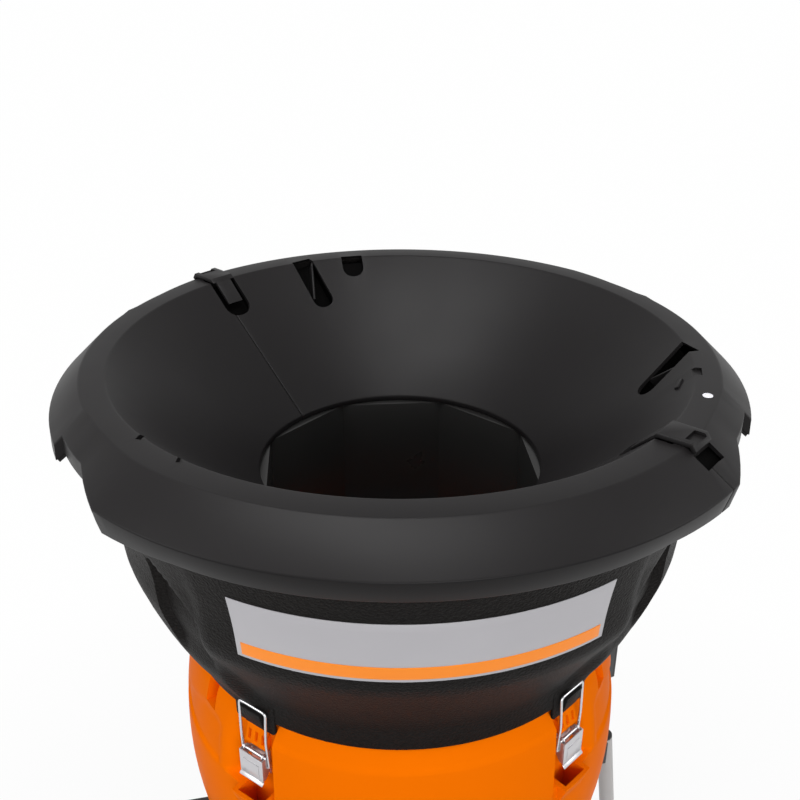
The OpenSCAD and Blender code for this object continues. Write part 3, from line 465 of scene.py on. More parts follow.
def soften_edges(bm, width, segments=2, angle=SHARP):
    """Rounds the edges where two faces meet more sharply than angle."""
    sharp = [e for e in bm.edges if len(e.link_faces) == 2 and e.calc_face_angle(0.0) > angle]
    if sharp:
        bmesh.ops.bevel(bm, geom=sharp, offset=width, offset_type="OFFSET", segments=segments, profile=0.5,
                        affect="EDGES", clamp_overlap=True, material=-1)


def make_piece(name, bm, slot, body, *stands_for, own_finish=None):
    """Turns a bmesh into a smooth-shaded piece that rides on a body and stands for CAD nodes."""
    for face in bm.faces:
        face.smooth = True
    for edge in bm.edges:
        edge.smooth = len(edge.link_faces) != 2 or edge.calc_face_angle(0.0) < CREASE
    mesh = bpy.data.meshes.new(name)
    bm.to_mesh(mesh)
    bm.free()
    mesh.materials.append(own_finish or finishes[slot])
    piece = bpy.data.objects.new(name, mesh)
    bpy.context.scene.collection.objects.link(piece)
    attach(piece, body)
    if stands_for:
        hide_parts(*stands_for)
    print(name, "faces:", len(mesh.polygons))
    return piece


def cut(piece, cutters):
    """Cuts other pieces' shapes out of a piece, and removes the cutters."""
    for cutter in cutters:
        mesh = bpy.data.meshes.new("cutter")
        cutter.to_mesh(mesh)
        cutter.free()
        tool = bpy.data.objects.new("cutter", mesh)
        bpy.context.scene.collection.objects.link(tool)
        boolean = piece.modifiers.new("cut", "BOOLEAN")
        boolean.operation = "DIFFERENCE"
        boolean.solver = "EXACT"
        boolean.object = tool
        shaped = bpy.data.meshes.new_from_object(piece.evaluated_get(bpy.context.evaluated_depsgraph_get()))
        piece.modifiers.clear()
        old = piece.data
        piece.data = shaped
        bpy.data.meshes.remove(old)
        bpy.data.objects.remove(tool)
        bpy.data.meshes.remove(mesh)
    piece.data.name = piece.name
    return piece


def box_bm(low, high):
    """A box between two corners."""
    bm = bmesh.new()
    low, high = Vector(low), Vector(high)
    stretch = Matrix.Diagonal((*(high - low), 1.0))
    bmesh.ops.create_cube(bm, size=1.0, matrix=Matrix.Translation((low + high) / 2) @ stretch)
    return bm


def at_azimuth(azimuth):
    """The turn that carries local +X outwards at an azimuth."""
    return Matrix.Rotation(math.radians(azimuth - 90.0), 4, "Z")


def prism_bm(points, depth):
    """A flat outline of (x, z) points, extruded over a depth along Y and centred."""
    bm = bmesh.new()
    face = bm.faces.new([bm.verts.new((x, -depth / 2, z)) for x, z in points])
    grown = bmesh.ops.extrude_face_region(bm, geom=[face])
    moved = [v for v in grown["geom"] if isinstance(v, bmesh.types.BMVert)]
    bmesh.ops.translate(bm, vec=(0, depth, 0), verts=moved)
    bmesh.ops.recalc_face_normals(bm, faces=bm.faces)
    return bm


def turned(bm, matrix):
    bmesh.ops.transform(bm, matrix=matrix, verts=bm.verts)
    return bm


SIDEWAYS = Matrix.Rotation(math.pi / 2, 4, "Z")


# %% [markdown]
# ## The hopper's two halves
# The hopper is moulded as two half rings that clip together on a line through the axis: a funnel, a flat
# crest, and outside it a falling lip at the front and the back, a lobe at each side and a hand grip
# between them. Sculpting could make it, but the real one is a turned shape whose outer part changes in
# steps. So the section is spun over half a turn, and each column takes the form of its sector.

# %% Sizes of the hopper
MM = 0.001
RIM_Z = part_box("hopper_front_half")[1].z
MOUTH_R = 275 * MM
CREST_R = 300 * MM
WALL = 3.5 * MM
THROAT_R = 142 * MM
FUNNEL_DEPTH = 124 * MM
THROAT_LIP = 6 * MM
SLOPE = math.atan2(FUNNEL_DEPTH, MOUTH_R - THROAT_R)
WALL_RUN = WALL / math.sin(SLOPE)
JOINT_A = 45.0
SEAM_A = 0.034
LIP_HALF_A = 52.0
GRIP_A = 15.0
TAPER_A = 5.0
STEP_A = 0.45
UPRIGHT_A = (34.0, 48.0)
RIM_FORMS = {
    # reach past the crest, fall, height of the skirt, draw-in of the skirt, step in from the crest's edge
    "lip": (41 * MM, 25 * MM, 25 * MM, 11 * MM, 0.0),
    "grip": (20 * MM, 18 * MM, 17 * MM, 1 * MM, 3 * MM),
    "lobe": (27 * MM, 27 * MM, 16 * MM, 0.5 * MM, 2 * MM),
}
RIM_FOLDS = [LIP_HALF_A - TAPER_A, LIP_HALF_A + TAPER_A,
             LIP_HALF_A + GRIP_A - STEP_A, LIP_HALF_A + GRIP_A + STEP_A]


def rim_form(azimuth):
    """The rim's form: a lip that stands up and tapers into a grip, and a short step from grip to lobe."""
    folded = fold(azimuth)
    to_grip, to_lobe = blend(folded, *RIM_FOLDS[:2]), blend(folded, *RIM_FOLDS[2:])
    shares = (1 - to_grip, to_grip * (1 - to_lobe), to_lobe)
    reach, fall, skirt, inset, step = [
        sum(size * share for size, share in zip(sizes, shares)) for sizes in zip(*RIM_FORMS.values())]
    return reach, fall, skirt, inset * (1 - 0.5 * blend(folded, *UPRIGHT_A)), step


def cone_point(share):
    """A point of the funnel's inner face, from the throat (0) to the mouth (1)."""
    return THROAT_R + share * (MOUTH_R - THROAT_R), (share - 1) * FUNNEL_DEPTH


def rim_section(azimuth):
    """The section of a hopper half at an azimuth, as (radius, height from the crest) points."""
    reach, fall, skirt, inset, step = rim_form(azimuth)
    edge = CREST_R + reach
    return [
        (THROAT_R, -FUNNEL_DEPTH - THROAT_LIP), cone_point(0.0), cone_point(0.33), cone_point(0.67),
        (MOUTH_R, 0.0), (CREST_R - step, 0.0), (edge, -fall), (edge - inset, -fall - skirt),
        (edge - inset - WALL, -fall - skirt), (edge - 1.3 * WALL, -fall - 0.4 * WALL),
        (CREST_R - step - 0.2 * WALL, -WALL), (MOUTH_R + WALL_RUN - WALL / math.tan(SLOPE), -WALL),
        (THROAT_R + WALL_RUN, -FUNNEL_DEPTH), (THROAT_R + WALL_RUN, -FUNNEL_DEPTH - THROAT_LIP),
    ]


# %% Spin a half and shape its columns
RIM_COLUMN_A = 2.2
RIM_ROUND = 1.4 * MM


def hopper_half(middle):
    """A half ring whose middle is at an azimuth, with its edges rounded."""
    low, high = middle - 90.0 + SEAM_A, middle + 90.0 - SEAM_A
    bm, row = spin_outline(rim_section(low), unfold(RIM_FOLDS, low, high), RIM_COLUMN_A)
    for vert in bm.verts:
        azimuth = azimuth_of(vert.co)
        radius, height = rim_section(azimuth)[vert[row]]
        vert.co = on_axis(azimuth, radius, height + RIM_Z)
    soften_edges(bm, RIM_ROUND, 3)
    return bm


front_half = make_piece("hopper_front_shell", hopper_half(JOINT_A - 90.0), "hopper_smooth",
                        "frame", "hopper_front_half")
rear_half = make_piece("hopper_rear_shell", hopper_half(JOINT_A + 90.0), "hopper_smooth",
                       "frame", "hopper_rear_half")

# %% [markdown]
# ## Pockets in the funnel
# Slanted slots, a half-round pocket and beds for two clips go through the funnel's wall, and small notches
# through its crest. A hole in a curved grid could be modelled by rerouting its faces, but a Boolean cut
# with a rounded block is quicker and just as clean, because the edges of such a hole are sharp anyway.

# %% Places on the hopper, and the pockets' sizes
def on_rim(azimuth):
    """Local X outwards, Y along the rim and Z up, from the axis at the crest's height."""
    return Matrix.Translation((0, 0, RIM_Z)) @ at_azimuth(azimuth)


def on_slope(azimuth, depth, slant):
    """Local X out of the wall, Y along the rim and Z up the slope, at a depth below the crest."""
    radius = MOUTH_R - depth / math.tan(SLOPE)
    return (at_azimuth(azimuth) @ Matrix.Translation((radius, 0.0, RIM_Z - depth))
            @ Matrix.Rotation(math.pi / 2 - SLOPE, 4, "Y") @ Matrix.Rotation(math.radians(slant), 4, "X"))


Pocket = namedtuple("Pocket", "azimuth depth slant width length corner floor open_top")
CLIP_AZIMUTHS = [46.5, -137.0]
SLOT_SLANTS = {-160.7: -12.0, 83.0: -22.0}
clip_beds = [Pocket(a, 12.5 * MM, 0.0, 32 * MM, 58 * MM, 14 * MM, 9 * MM, 16 * MM) for a in CLIP_AZIMUTHS]
slots = [Pocket(a, 19.5 * MM, slant, 24 * MM, 68 * MM, 11 * MM, 16 * MM, 6 * MM)
         for a, slant in SLOT_SLANTS.items()]
dimple = Pocket(-172.0, 8 * MM, 0.0, 25 * MM, 29 * MM, 12 * MM, 10 * MM, 6 * MM)
print("Pockets:", len(clip_beds) + len(slots) + 1)

# %% Cut the pockets
CUT_DEEP = 30 * MM
NOTCH = 5 * MM
NOTCH_TURN = math.radians(35)
NOTCH_AZIMUTHS = [-53.0, -42.0]
DIP_A = 73.5


def pocket_cutter(pocket):
    """A block through the wall with its two lower corners rounded."""
    x, y, z = CUT_DEEP / 2, pocket.width / 2, pocket.length / 2
    bm = box_bm((-x, -y, -z), (x, y, z))
    corners = [e for e in bm.edges if abs(e.verts[0].co.x - e.verts[1].co.x) > x and e.verts[0].co.z < 0]
    bmesh.ops.bevel(bm, geom=corners, offset=pocket.corner, offset_type="OFFSET", segments=5, profile=0.5,
                    affect="EDGES", clamp_overlap=True, material=-1)
    return turned(bm, on_slope(pocket.azimuth, pocket.depth, pocket.slant))


def crest_notch(azimuth):
    """A small block that lies askew across the crest's inner edge."""
    bm = box_bm((-3 * NOTCH, -NOTCH / 2, -NOTCH), (1.2 * NOTCH, NOTCH / 2, NOTCH))
    askew = Matrix.Translation((MOUTH_R, 0, 0)) @ Matrix.Rotation(NOTCH_TURN, 4, "Z")
    return turned(bm, on_rim(azimuth) @ askew)


def crest_dip(azimuth):
    """A shallow block over the crest's inner edge."""
    bm = box_bm((MOUTH_R - 4 * MM, -8 * MM, -2.6 * MM), (MOUTH_R + 6 * MM, 8 * MM, 3 * MM))
    return turned(bm, on_rim(azimuth))


cut(rear_half, [pocket_cutter(p) for p in (*clip_beds, *slots, dimple)] + [crest_dip(DIP_A)])
cut(front_half, [pocket_cutter(p) for p in clip_beds] + [crest_notch(a) for a in NOTCH_AZIMUTHS])
print("Rear half's faces after the cuts:", len(rear_half.data.polygons))

# %% [markdown]
# ## Small pieces of the funnel
# Behind each cut lies a tray, so that the cut shows a floor and not the bowl; its near-black finish is painted
# shade for the deep pockets. A thin rib stands in each slanted slot, a tab sits on the slope at the right,
# and a plain white dot is set in the crest. All are small, so softened blocks and a flattened cylinder are enough.

# %% Trays, tab and ribs
TAB_A, TAB_DEPTH, TAB_SLANT = 72.0, 12 * MM, 20.0


def joined(bms):
    """One bmesh out of several, which are freed."""
    whole = bmesh.new()
    for bm in bms:
        mesh = bpy.data.meshes.new("joint")
        bm.to_mesh(mesh)
        bm.free()
        whole.from_mesh(mesh)
        bpy.data.meshes.remove(mesh)
    return whole


def slot_rib(slot):
    """A thin rib that leans against the slot's slant."""
    bm = box_bm((3 * MM, -1 * MM, -0.3 * slot.length), (16 * MM, 1 * MM, 0.42 * slot.length))
    soften_edges(bm, 0.4 * MM)
    return turned(bm, on_slope(slot.azimuth, slot.depth, -slot.slant))


def pocket_liner(pocket):
    """A shallow tray of a floor, two sides and a foot behind a pocket."""
    near, far, y = WALL, pocket.floor, pocket.width / 2 + MM
    low, high = -pocket.length / 2 - MM, pocket.length / 2 - pocket.open_top
    plates = [((far, -y, low), (far + MM, y, high)), ((near, -y - MM, low), (far, -y, high)),
              ((near, y, low), (far, y + MM, high)), ((near, -y, low - MM), (far, y, low))]
    place = on_slope(pocket.azimuth, pocket.depth, pocket.slant)
    return turned(joined([box_bm(*plate) for plate in plates]), place)


# Near black and almost unglossy, darker than the hopper's own black: painted shade for the floors of the deep
# pockets and the sunk pocket.
pocket_painted_shade = finish("pocket_painted_shade", (0.0008, 0.0008, 0.0008), (0.0018, 0.0017, 0.0017), 0.6, specular=0.01)
liners = joined([pocket_liner(p) for p in (*slots, *clip_beds, dimple)])
make_piece("pocket_liners", liners, "hopper_smooth", "frame", own_finish=pocket_painted_shade)
tab = box_bm((-2.2 * MM, -7 * MM, -2.5 * MM), (1 * MM, 7 * MM, 2.5 * MM))
soften_edges(tab, 0.8 * MM)
turned(tab, on_slope(TAB_A, TAB_DEPTH, TAB_SLANT))
make_piece("slope_tab", tab, "hopper_smooth", "frame")
make_piece("slot_ribs", joined([slot_rib(s) for s in slots]), "hopper_smooth", "frame")

# %% The dot on the crest
DOT_A, DOT_R = 63.4, 4.5 * MM
dot_bm = bmesh.new()
bmesh.ops.create_cone(dot_bm, cap_ends=True, segments=32, radius1=DOT_R, radius2=DOT_R, depth=1 * MM)
soften_edges(dot_bm, 0.3 * MM)
bmesh.ops.translate(dot_bm, vec=on_axis(DOT_A, (MOUTH_R + CREST_R) / 2, RIM_Z), verts=dot_bm.verts)
dot_white = finish("dot_white", (0.50, 0.49, 0.52), (0.56, 0.55, 0.58), 0.4, grain=1500.0, depth=0.02)
make_piece("crest_dot", dot_bm, "badge_silver", "frame", own_finish=dot_white)

# %% [markdown]
# ## The rim clips
# Where the halves meet, a strap lies over the crest, turns down into a round-ended bed in the funnel and,
# outside, over the edge of the lip. A strap is bent sheet, so it is drawn as a flat section in the plane
# through the axis and given its width. A window in its top is cut out with a block. Outside the right
# strap the lip has a sunk pocket, with a plate under it whose near-black finish is painted shade.

# %% Clips
CLIP_W = 29 * MM
FLAP_SHARE = 0.66


def strap_section(from_r, points):
    """Points given in mm from a radius and from the crest's height."""
    return [(from_r + x * MM, z * MM) for x, z in points]


def clip_bm(azimuth):
    """A strap over the crest at an azimuth, with a flap in its bed and a tail on the lip."""
    over = strap_section(MOUTH_R, ((-4, 0.3), (0, 4.5))) + strap_section(
        CREST_R, ((5, 4.5), (9, -1.5), (6, -3.6), (3, 0.3)))
    flap = strap_section(MOUTH_R, ((-24, -20), (-3, 1), (1, 3), (4, 0.6), (1, -1), (-21, -21.5)))
    strap = joined([prism_bm(over, CLIP_W), prism_bm(flap, FLAP_SHARE * CLIP_W)])
    soften_edges(strap, 0.7 * MM)
    return turned(strap, on_rim(azimuth))


for name, azimuth in zip(("right", "left"), CLIP_AZIMUTHS):
    node = "rim_clip_" + name
    clip = make_piece(node + "_strap", clip_bm(azimuth), "hopper_smooth", "frame", node)
    window = box_bm((CREST_R - 4 * MM, -9 * MM, 1.4 * MM), (CREST_R + 6.5 * MM, 9 * MM, 9 * MM))
    cut(clip, [turned(window, on_rim(azimuth))])

# %% The sunk pocket in the lip
LIP_FALL = RIM_FORMS["lip"][1] / RIM_FORMS["lip"][0]
RIGHT_CLIP = on_rim(CLIP_AZIMUTHS[0])
BED_W = 38 * MM
for half in (rear_half, front_half):
    sunk = box_bm((CREST_R + 7 * MM, -15 * MM, -24 * MM), (CREST_R + 21 * MM, 15 * MM, 6 * MM))
    cut(half, [turned(sunk, RIGHT_CLIP)])
bed_section = [(x, -x * LIP_FALL - under) for x, under in ((3, 7), (27, 7), (27, 9), (3, 9))]
bed = turned(prism_bm(strap_section(CREST_R, bed_section), BED_W), RIGHT_CLIP)
# The bed's near-black finish is painted shade in the sunk pocket.
make_piece("hook_bed", bed, "hopper_smooth", "frame", own_finish=pocket_painted_shade)

# %% [markdown]
# ## The bowl
# Under the rim hangs a bowl with a coarse grain: a neck that stands on the drum, an underside that flares
# out, a rounded edge, and a band with a raised panel for the badge. It is spun like the halves, and the
# panel and the side pockets come from moving the columns in and out by azimuth and height.

# %% Sizes of the bowl
NECK_Z = RIM_Z - 290 * MM
NECK_R = 225 * MM
BOWL_WALL = 4 * MM
BOWL_FLOOR_R = 221 * MM
BOWL_HOLE_R = 150 * MM
SPIGOT_R = 205 * MM
SPIGOT_H = 20 * MM
BOWL_LINES = [
    # height, radius at the front and the back, radius at the sides, all in mm
    (666, 227, 226.5), (676, 227, 228.5), (686, 227.5, 234.5), (692, 228.5, 238.5), (700, 232, 243),
    (710, 237.5, 248.8), (722, 244.5, 254.6), (735, 252.3, 260.3), (748, 260.5, 265.4), (760, 268, 269.8),
    (768, 273, 272.3), (776, 277.5, 275), (784, 280.5, 277.3), (792, 282, 279), (802, 283, 280),
    (818, 284.5, 280.8), (836, 287, 283), (855, 290.5, 288), (872, 294, 293), (885, 297, 297),
    (905, 298, 298), (956.5, 298, 298),
]
PANEL_A = (38.5, 42.5)
POCKET_IN = 8 * MM
POCKET_A = (41.0, 43.0, 52.0, 53.2)
POCKET_FOOT_Z = (725 * MM, 765 * MM)
LEDGE_Z = 798 * MM
LEDGE_CLIMB = 4.5 * MM
LEDGE_SOFT = 4 * MM


def bowl_radius(azimuth, z):
    """The bowl's outside: a panel at the front and the back, and pockets under slanted ledges beside it."""
    rows = list(zip(BOWL_LINES, BOWL_LINES[1:]))
    low, high = next((pair for pair in rows if z <= pair[1][0] * MM + 1e-6), rows[-1])
    t = blend(z, low[0] * MM, high[0] * MM)
    front, side = ((low[i] + (high[i] - low[i]) * t) * MM for i in (1, 2))
    folded = fold(azimuth)
    to_side = smooth_step(folded, *PANEL_A)
    in_pocket = smooth_step(folded, *POCKET_A[:2]) * (1 - smooth_step(folded, *POCKET_A[2:]))
    ledge = LEDGE_Z + LEDGE_CLIMB * (folded - POCKET_A[0])
    sunk = smooth_step(z, *POCKET_FOOT_Z) * (1 - smooth_step(z, ledge - LEDGE_SOFT, ledge + LEDGE_SOFT))
    return front + (side - front) * to_side - in_pocket * sunk * POCKET_IN


# %% Spin the bowl
BOWL_ROW, BOWL_COLUMN_A = 6 * MM, 1.25
GRID_ROUND, GRID_SHARP = 0.8 * MM, math.radians(40.0)
bowl_heights = rows_between([z * MM for z, front, side in BOWL_LINES], BOWL_ROW)
# The rows of the wall are spun at one radius, and move to their own radius below.
bowl_wall = [(CREST_R, z) for z in bowl_heights]
bowl_wall += [(CREST_R - BOWL_WALL, z) for z in reversed(bowl_heights[2:])]
bowl_foot = [
    (BOWL_FLOOR_R, NECK_Z + BOWL_WALL), (BOWL_HOLE_R, NECK_Z + BOWL_WALL), (BOWL_HOLE_R, NECK_Z),
    (SPIGOT_R - BOWL_WALL, NECK_Z), (SPIGOT_R - BOWL_WALL, NECK_Z - SPIGOT_H), (SPIGOT_R, NECK_Z - SPIGOT_H),
    (SPIGOT_R, NECK_Z), (NECK_R, NECK_Z), (NECK_R, bowl_heights[0]),
]
bowl_columns = unfold(POCKET_A, 0.0, 360.0)
bowl_bm, bowl_row = spin_outline(bowl_wall + bowl_foot, bowl_columns, BOWL_COLUMN_A, full=True)
for vert in bowl_bm.verts:
    if vert[bowl_row] < len(bowl_wall):
        azimuth = azimuth_of(vert.co)
        inset = 0.0 if vert[bowl_row] < len(bowl_heights) else BOWL_WALL
        vert.co = on_axis(azimuth, bowl_radius(azimuth, vert.co.z) - inset, vert.co.z)
soften_edges(bowl_bm, GRID_ROUND, 2, GRID_SHARP)
make_piece("hopper_bowl_shell", bowl_bm, "bowl_grain", "frame", "hopper_bowl")

# %% [markdown]
# ## The badge
# A plain plate lies on the front panel with a stripe along its foot. It could be a decal, but a thin
# plate catches the light along its edges. It is spun like the bowl and takes the bowl's own radius.

# %% Badge plate and stripe
BADGE_A, BADGE_LOW, BADGE_HIGH = 32.0, 796 * MM, 860 * MM
STRIPE_A, STRIPE_LOW, STRIPE_HIGH = 31.0, 799 * MM, 812 * MM
BADGE_ROWS, BADGE_COLUMN_A = 6, 1.5
BADGE_SUNK = 0.5 * MM


def band_bm(half_a, low, high, thick):
    """A thin plate on the bowl's front, between two heights."""
    rows = [low + (high - low) * i / BADGE_ROWS for i in range(BADGE_ROWS + 1)]
    outline = [(CREST_R, z) for z in rows] + [(CREST_R - BOWL_WALL, z) for z in reversed(rows)]
    bm, row = spin_outline(outline, [-half_a, half_a], BADGE_COLUMN_A)
    for vert in bm.verts:
        azimuth = azimuth_of(vert.co)
        out = thick if vert[row] < len(rows) else -BADGE_SUNK
        vert.co = on_axis(azimuth, bowl_radius(azimuth, vert.co.z) + out, vert.co.z)
    soften_edges(bm, 0.25 * MM)
    return bm


plate = band_bm(BADGE_A, BADGE_LOW, BADGE_HIGH, 0.5 * MM)
stripe = band_bm(STRIPE_A, STRIPE_LOW, STRIPE_HIGH, 0.9 * MM)
make_piece("badge_plate_face", plate, "badge_silver", "frame", "badge_plate")
make_piece("badge_stripe_face", stripe, "badge_orange", "frame", "badge_stripe")

# %% [markdown]
# ## The keepers
# At each latch a tongue hangs from the bowl's neck in front of the drum's recess, with a lug that the
# bail hooks over. They are moulded in one with the bowl. Here they are a second mesh in the same finish:
# a block with its lower corners cut and a wedge, both softened.

# %% Keepers
LATCH_A = 41.0
RECESS_R = 222 * MM
BAIL_Z = NECK_Z + 6 * MM
WIRE_R = 1.5 * MM
KEEPER_HALF, KEEPER_CORNER = 25 * MM, 3 * MM
KEEPER_LOW, KEEPER_HIGH = NECK_Z - 19 * MM, NECK_Z + 16 * MM
LUG_W, LUG_TOP = 24 * MM, BAIL_Z - WIRE_R - 0.6 * MM


def four_around(folded):
    """The four azimuths that lie as far from the front or the back."""
    return [folded, 180.0 - folded, folded - 180.0, -folded]


def keeper_bm(azimuth):
    half, corner, low, high = KEEPER_HALF, KEEPER_CORNER, KEEPER_LOW, KEEPER_HIGH
    tongue = prism_bm([(-half, low + corner), (corner - half, low), (half - corner, low),
                       (half, low + corner), (half, high), (-half, high)], 3 * MM)
    turned(tongue, Matrix.Translation((NECK_R, 0, 0)) @ SIDEWAYS)
    soften_edges(tongue, 0.8 * MM)
    lug = prism_bm([(RECESS_R + 1.5 * MM, BAIL_Z - 25 * MM), (RECESS_R + 5.6 * MM, BAIL_Z - 24 * MM),
                    (RECESS_R + 9 * MM, BAIL_Z - 12 * MM), (RECESS_R + 11 * MM, LUG_TOP),
                    (RECESS_R + 1.5 * MM, LUG_TOP)], LUG_W)
    soften_edges(lug, 0.9 * MM)
    return turned(joined([tongue, lug]), at_azimuth(azimuth))


LATCH_AZIMUTHS = four_around(LATCH_A)
make_piece("keepers", joined([keeper_bm(a) for a in LATCH_AZIMUTHS]), "bowl_grain", "frame")

# %% [markdown]
# ## The drum
# The orange drum is a barrel with a recess for each latch. A recess has a steep wall towards the panel at
# the front or the back, and rolls out softly into the lobe at the side. Under each latch a scoop stands
# out. Boolean boxes would leave hard edges, so the barrel is spun as a grid with extra columns and rows at
# each feature, and every vertex is then set to the radius that a plain function gives for its place.

# %% Sizes of the drum, with angles from the nearest latch
DRUM_TOP = NECK_Z - 1.5 * MM
DRUM_H = 308 * MM
DRUM_FOOT = DRUM_TOP - DRUM_H
DRUM_R = 238.5 * MM
DRUM_WALL = 4 * MM
BARREL_SHARE = 0.55
TOP_DRAW, PANEL_DRAW, FOOT_DRAW = 20 * MM, 4 * MM, 37 * MM
SHOULDER_Z = DRUM_TOP - 22 * MM
LOBE_SHOULDER = 4 * MM
CORNER_A, CORNER_IN, CORNER_FREE, CORNER_FALL = 4.0, 9 * MM, 3 * MM, 6 * MM
RECESS_A = 6.4
RECESS_Z = 572 * MM
ROLL_A = (5.2, 11.5)
SCOOP_A = 4.8
SCOOP_OUT = 8 * MM
SCOOP_FOOT = 506 * MM
SCOOP_HEAD = RECESS_Z - 4 * MM
EDGE_A = 0.3
SLOT_A = 19.0
FACET_A = (13.0, 14.5, 40.0, 44.0)
FACET_Z = (570 * MM, 573 * MM)
FACET_IN = 2.5 * MM
ROOF_Z, ROOF_SOFT = 621 * MM, 3 * MM
ROOF_FLAT_A, ROOF_FALL = 3.0, 1.6 * MM
BEHIND_SLOT_A, BEHIND_SLOT_Z, BEHIND_SLOT_R = 4.6, 607 * MM, 207 * MM
BEHIND_SCOOP_A, BEHIND_SCOOP_Z, BEHIND_SCOOP_R = 7.2, 500 * MM, RECESS_R - 5 * MM
print("Drum from", round(DRUM_FOOT, 4), "to", round(DRUM_TOP, 4))


# %% The drum's radius
def barrel(z, top_draw=TOP_DRAW):
    share = (z - DRUM_FOOT) / DRUM_H
    if share > BARREL_SHARE:
        return DRUM_R - top_draw * ((share - BARREL_SHARE) / (1 - BARREL_SHARE)) ** 2
    return DRUM_R - FOOT_DRAW * ((BARREL_SHARE - share) / BARREL_SHARE) ** 2


def latch_turn(azimuth):
    """Degrees from the nearest latch, positive towards the lobe at the drum's left or right side."""
    return fold(azimuth) - LATCH_A


def panel_radius(turn, z):
    """The outside at the front and the back, with its corner towards the recess cut at the top."""
    draw_in = RECESS_R - barrel(SHOULDER_Z, PANEL_DRAW)
    radius = barrel(z, PANEL_DRAW) + draw_in * blend(z, SHOULDER_Z, DRUM_TOP)
    corner = blend(turn, -RECESS_A - CORNER_A, -RECESS_A) * blend(z, SHOULDER_Z - CORNER_FALL, DRUM_TOP)
    return min(radius, radius - CORNER_IN * corner + CORNER_FREE)


def drum_radius(azimuth, z):
    """The outside: a panel, or a lobe with its facet, the recess that rolls into it and the scoop."""
    turn = latch_turn(azimuth)
    if turn < -RECESS_A - EDGE_A / 2:
        return panel_radius(turn, z)
    radius = barrel(z) - LOBE_SHOULDER * blend(z, SHOULDER_Z, DRUM_TOP)
    roof = ROOF_Z - ROOF_FALL * max(0.0, abs(turn - SLOT_A) - ROOF_FLAT_A)
    facet = smooth_step(turn, *FACET_A[:2]) * (1 - smooth_step(turn, *FACET_A[2:]))
    facet *= smooth_step(z, *FACET_Z) * (1 - smooth_step(z, roof - ROOF_SOFT, roof + ROOF_SOFT))
    radius -= FACET_IN * facet
    roll = 1 - smooth_step(turn, *ROLL_A)
    sunk = roll * smooth_step(z, RECESS_Z - 1 * MM, RECESS_Z + 1 * MM)
    radius += sunk * min(0.0, RECESS_R / math.cos(math.radians(turn)) - radius)
    in_scoop = 1 - smooth_step(abs(turn), SCOOP_A, SCOOP_A + EDGE_A)
    lip = RECESS_R + (DRUM_R + SCOOP_OUT - RECESS_R) * blend(z, SCOOP_FOOT, SCOOP_HEAD)
    return max(radius, radius + in_scoop * (lip - radius)) if z <= RECESS_Z else radius


def drum_inside(azimuth, z):
    """The inner wall, which stands further in behind the slots and the scoops."""
    turn = latch_turn(azimuth)
    radius = min(barrel(z), drum_radius(azimuth, z)) - DRUM_WALL
    if abs(turn - SLOT_A) < BEHIND_SLOT_A and z > BEHIND_SLOT_Z:
        return min(radius, BEHIND_SLOT_R)
    if abs(turn) < BEHIND_SCOOP_A and z > BEHIND_SCOOP_Z:
        return min(radius, BEHIND_SCOOP_R)
    return radius


# %% Spin the drum's grid
DRUM_ROW, FOOT_ROW, DRUM_COLUMN_A = 5 * MM, 16 * MM, 1.5
NECK_GAP, NECK_H = 0.3 * MM, 6 * MM
foot_z = rows_between([DRUM_FOOT, SCOOP_FOOT], FOOT_ROW)[:-1]
outer_z = foot_z + rows_between([SCOOP_FOOT, SCOOP_HEAD, RECESS_Z - 1 * MM, RECESS_Z, RECESS_Z + 1 * MM,
                                 SHOULDER_Z, DRUM_TOP], DRUM_ROW)
neck = [(SPIGOT_R + NECK_GAP, DRUM_TOP), (SPIGOT_R + NECK_GAP, DRUM_TOP - NECK_H)]
inner_z = [DRUM_TOP - NECK_H, 645 * MM, BEHIND_SLOT_Z + 2 * MM, BEHIND_SLOT_Z - 2 * MM, RECESS_Z + 6 * MM,
           540 * MM, BEHIND_SCOOP_Z + 5 * MM, BEHIND_SCOOP_Z - 5 * MM, 430 * MM, DRUM_FOOT]
drum_outline = [(barrel(z), z) for z in outer_z] + neck + [(barrel(z) - DRUM_WALL, z) for z in inner_z]
slot_edges = [SLOT_A + side * (BEHIND_SLOT_A + step) for side in (-1, 1) for step in (-0.1, 0.1)]
drum_turns = [-RECESS_A - CORNER_A, -RECESS_A - EDGE_A, -RECESS_A, -SCOOP_A - EDGE_A, -SCOOP_A, SCOOP_A,
              SCOOP_A + EDGE_A, BEHIND_SCOOP_A, ROLL_A[1], *FACET_A, *slot_edges]
drum_columns = unfold([LATCH_A + turn for turn in drum_turns], 0.0, 360.0)
drum_bm, drum_row = spin_outline(drum_outline, drum_columns, DRUM_COLUMN_A, full=True)
for vert in drum_bm.verts:
    azimuth, z = azimuth_of(vert.co), vert.co.z
    if vert[drum_row] < len(outer_z):
        vert.co = on_axis(azimuth, drum_radius(azimuth, z), z)
    elif vert[drum_row] >= len(outer_z) + len(neck):
        vert.co = on_axis(azimuth, drum_inside(azimuth, z), z)
soften_edges(drum_bm, GRID_ROUND, 2, GRID_SHARP)
drum = make_piece("drum_shell", drum_bm, "drum_orange", "frame", "drum_housing")

# %% Cut the scoops' pockets and the slots at the top of the lobes
SCOOP_HOLE_W = 31 * MM
LOBE_SLOT_HALF, LOBE_SLOT_R, LOBE_SLOT_Z = 9.5 * MM, 211.5 * MM, 626 * MM


def scoop_pocket(azimuth):
    """A wedge that leaves an even wall to the scoop's sloping front."""
    outline = [(-3, 3), (20.5, 3), (20.5, -4), (2, -52), (-3, -52)]
    points = [(RECESS_R + x * MM, RECESS_Z + z * MM) for x, z in outline]
    return turned(prism_bm(points, SCOOP_HOLE_W), at_azimuth(azimuth))


def lobe_slot(azimuth):
    """A block through the lobe's upper edge."""
    bm = box_bm((LOBE_SLOT_R, -LOBE_SLOT_HALF, LOBE_SLOT_Z),
                (DRUM_R + 5 * MM, LOBE_SLOT_HALF, DRUM_TOP + 4 * MM))
    return turned(bm, at_azimuth(azimuth))


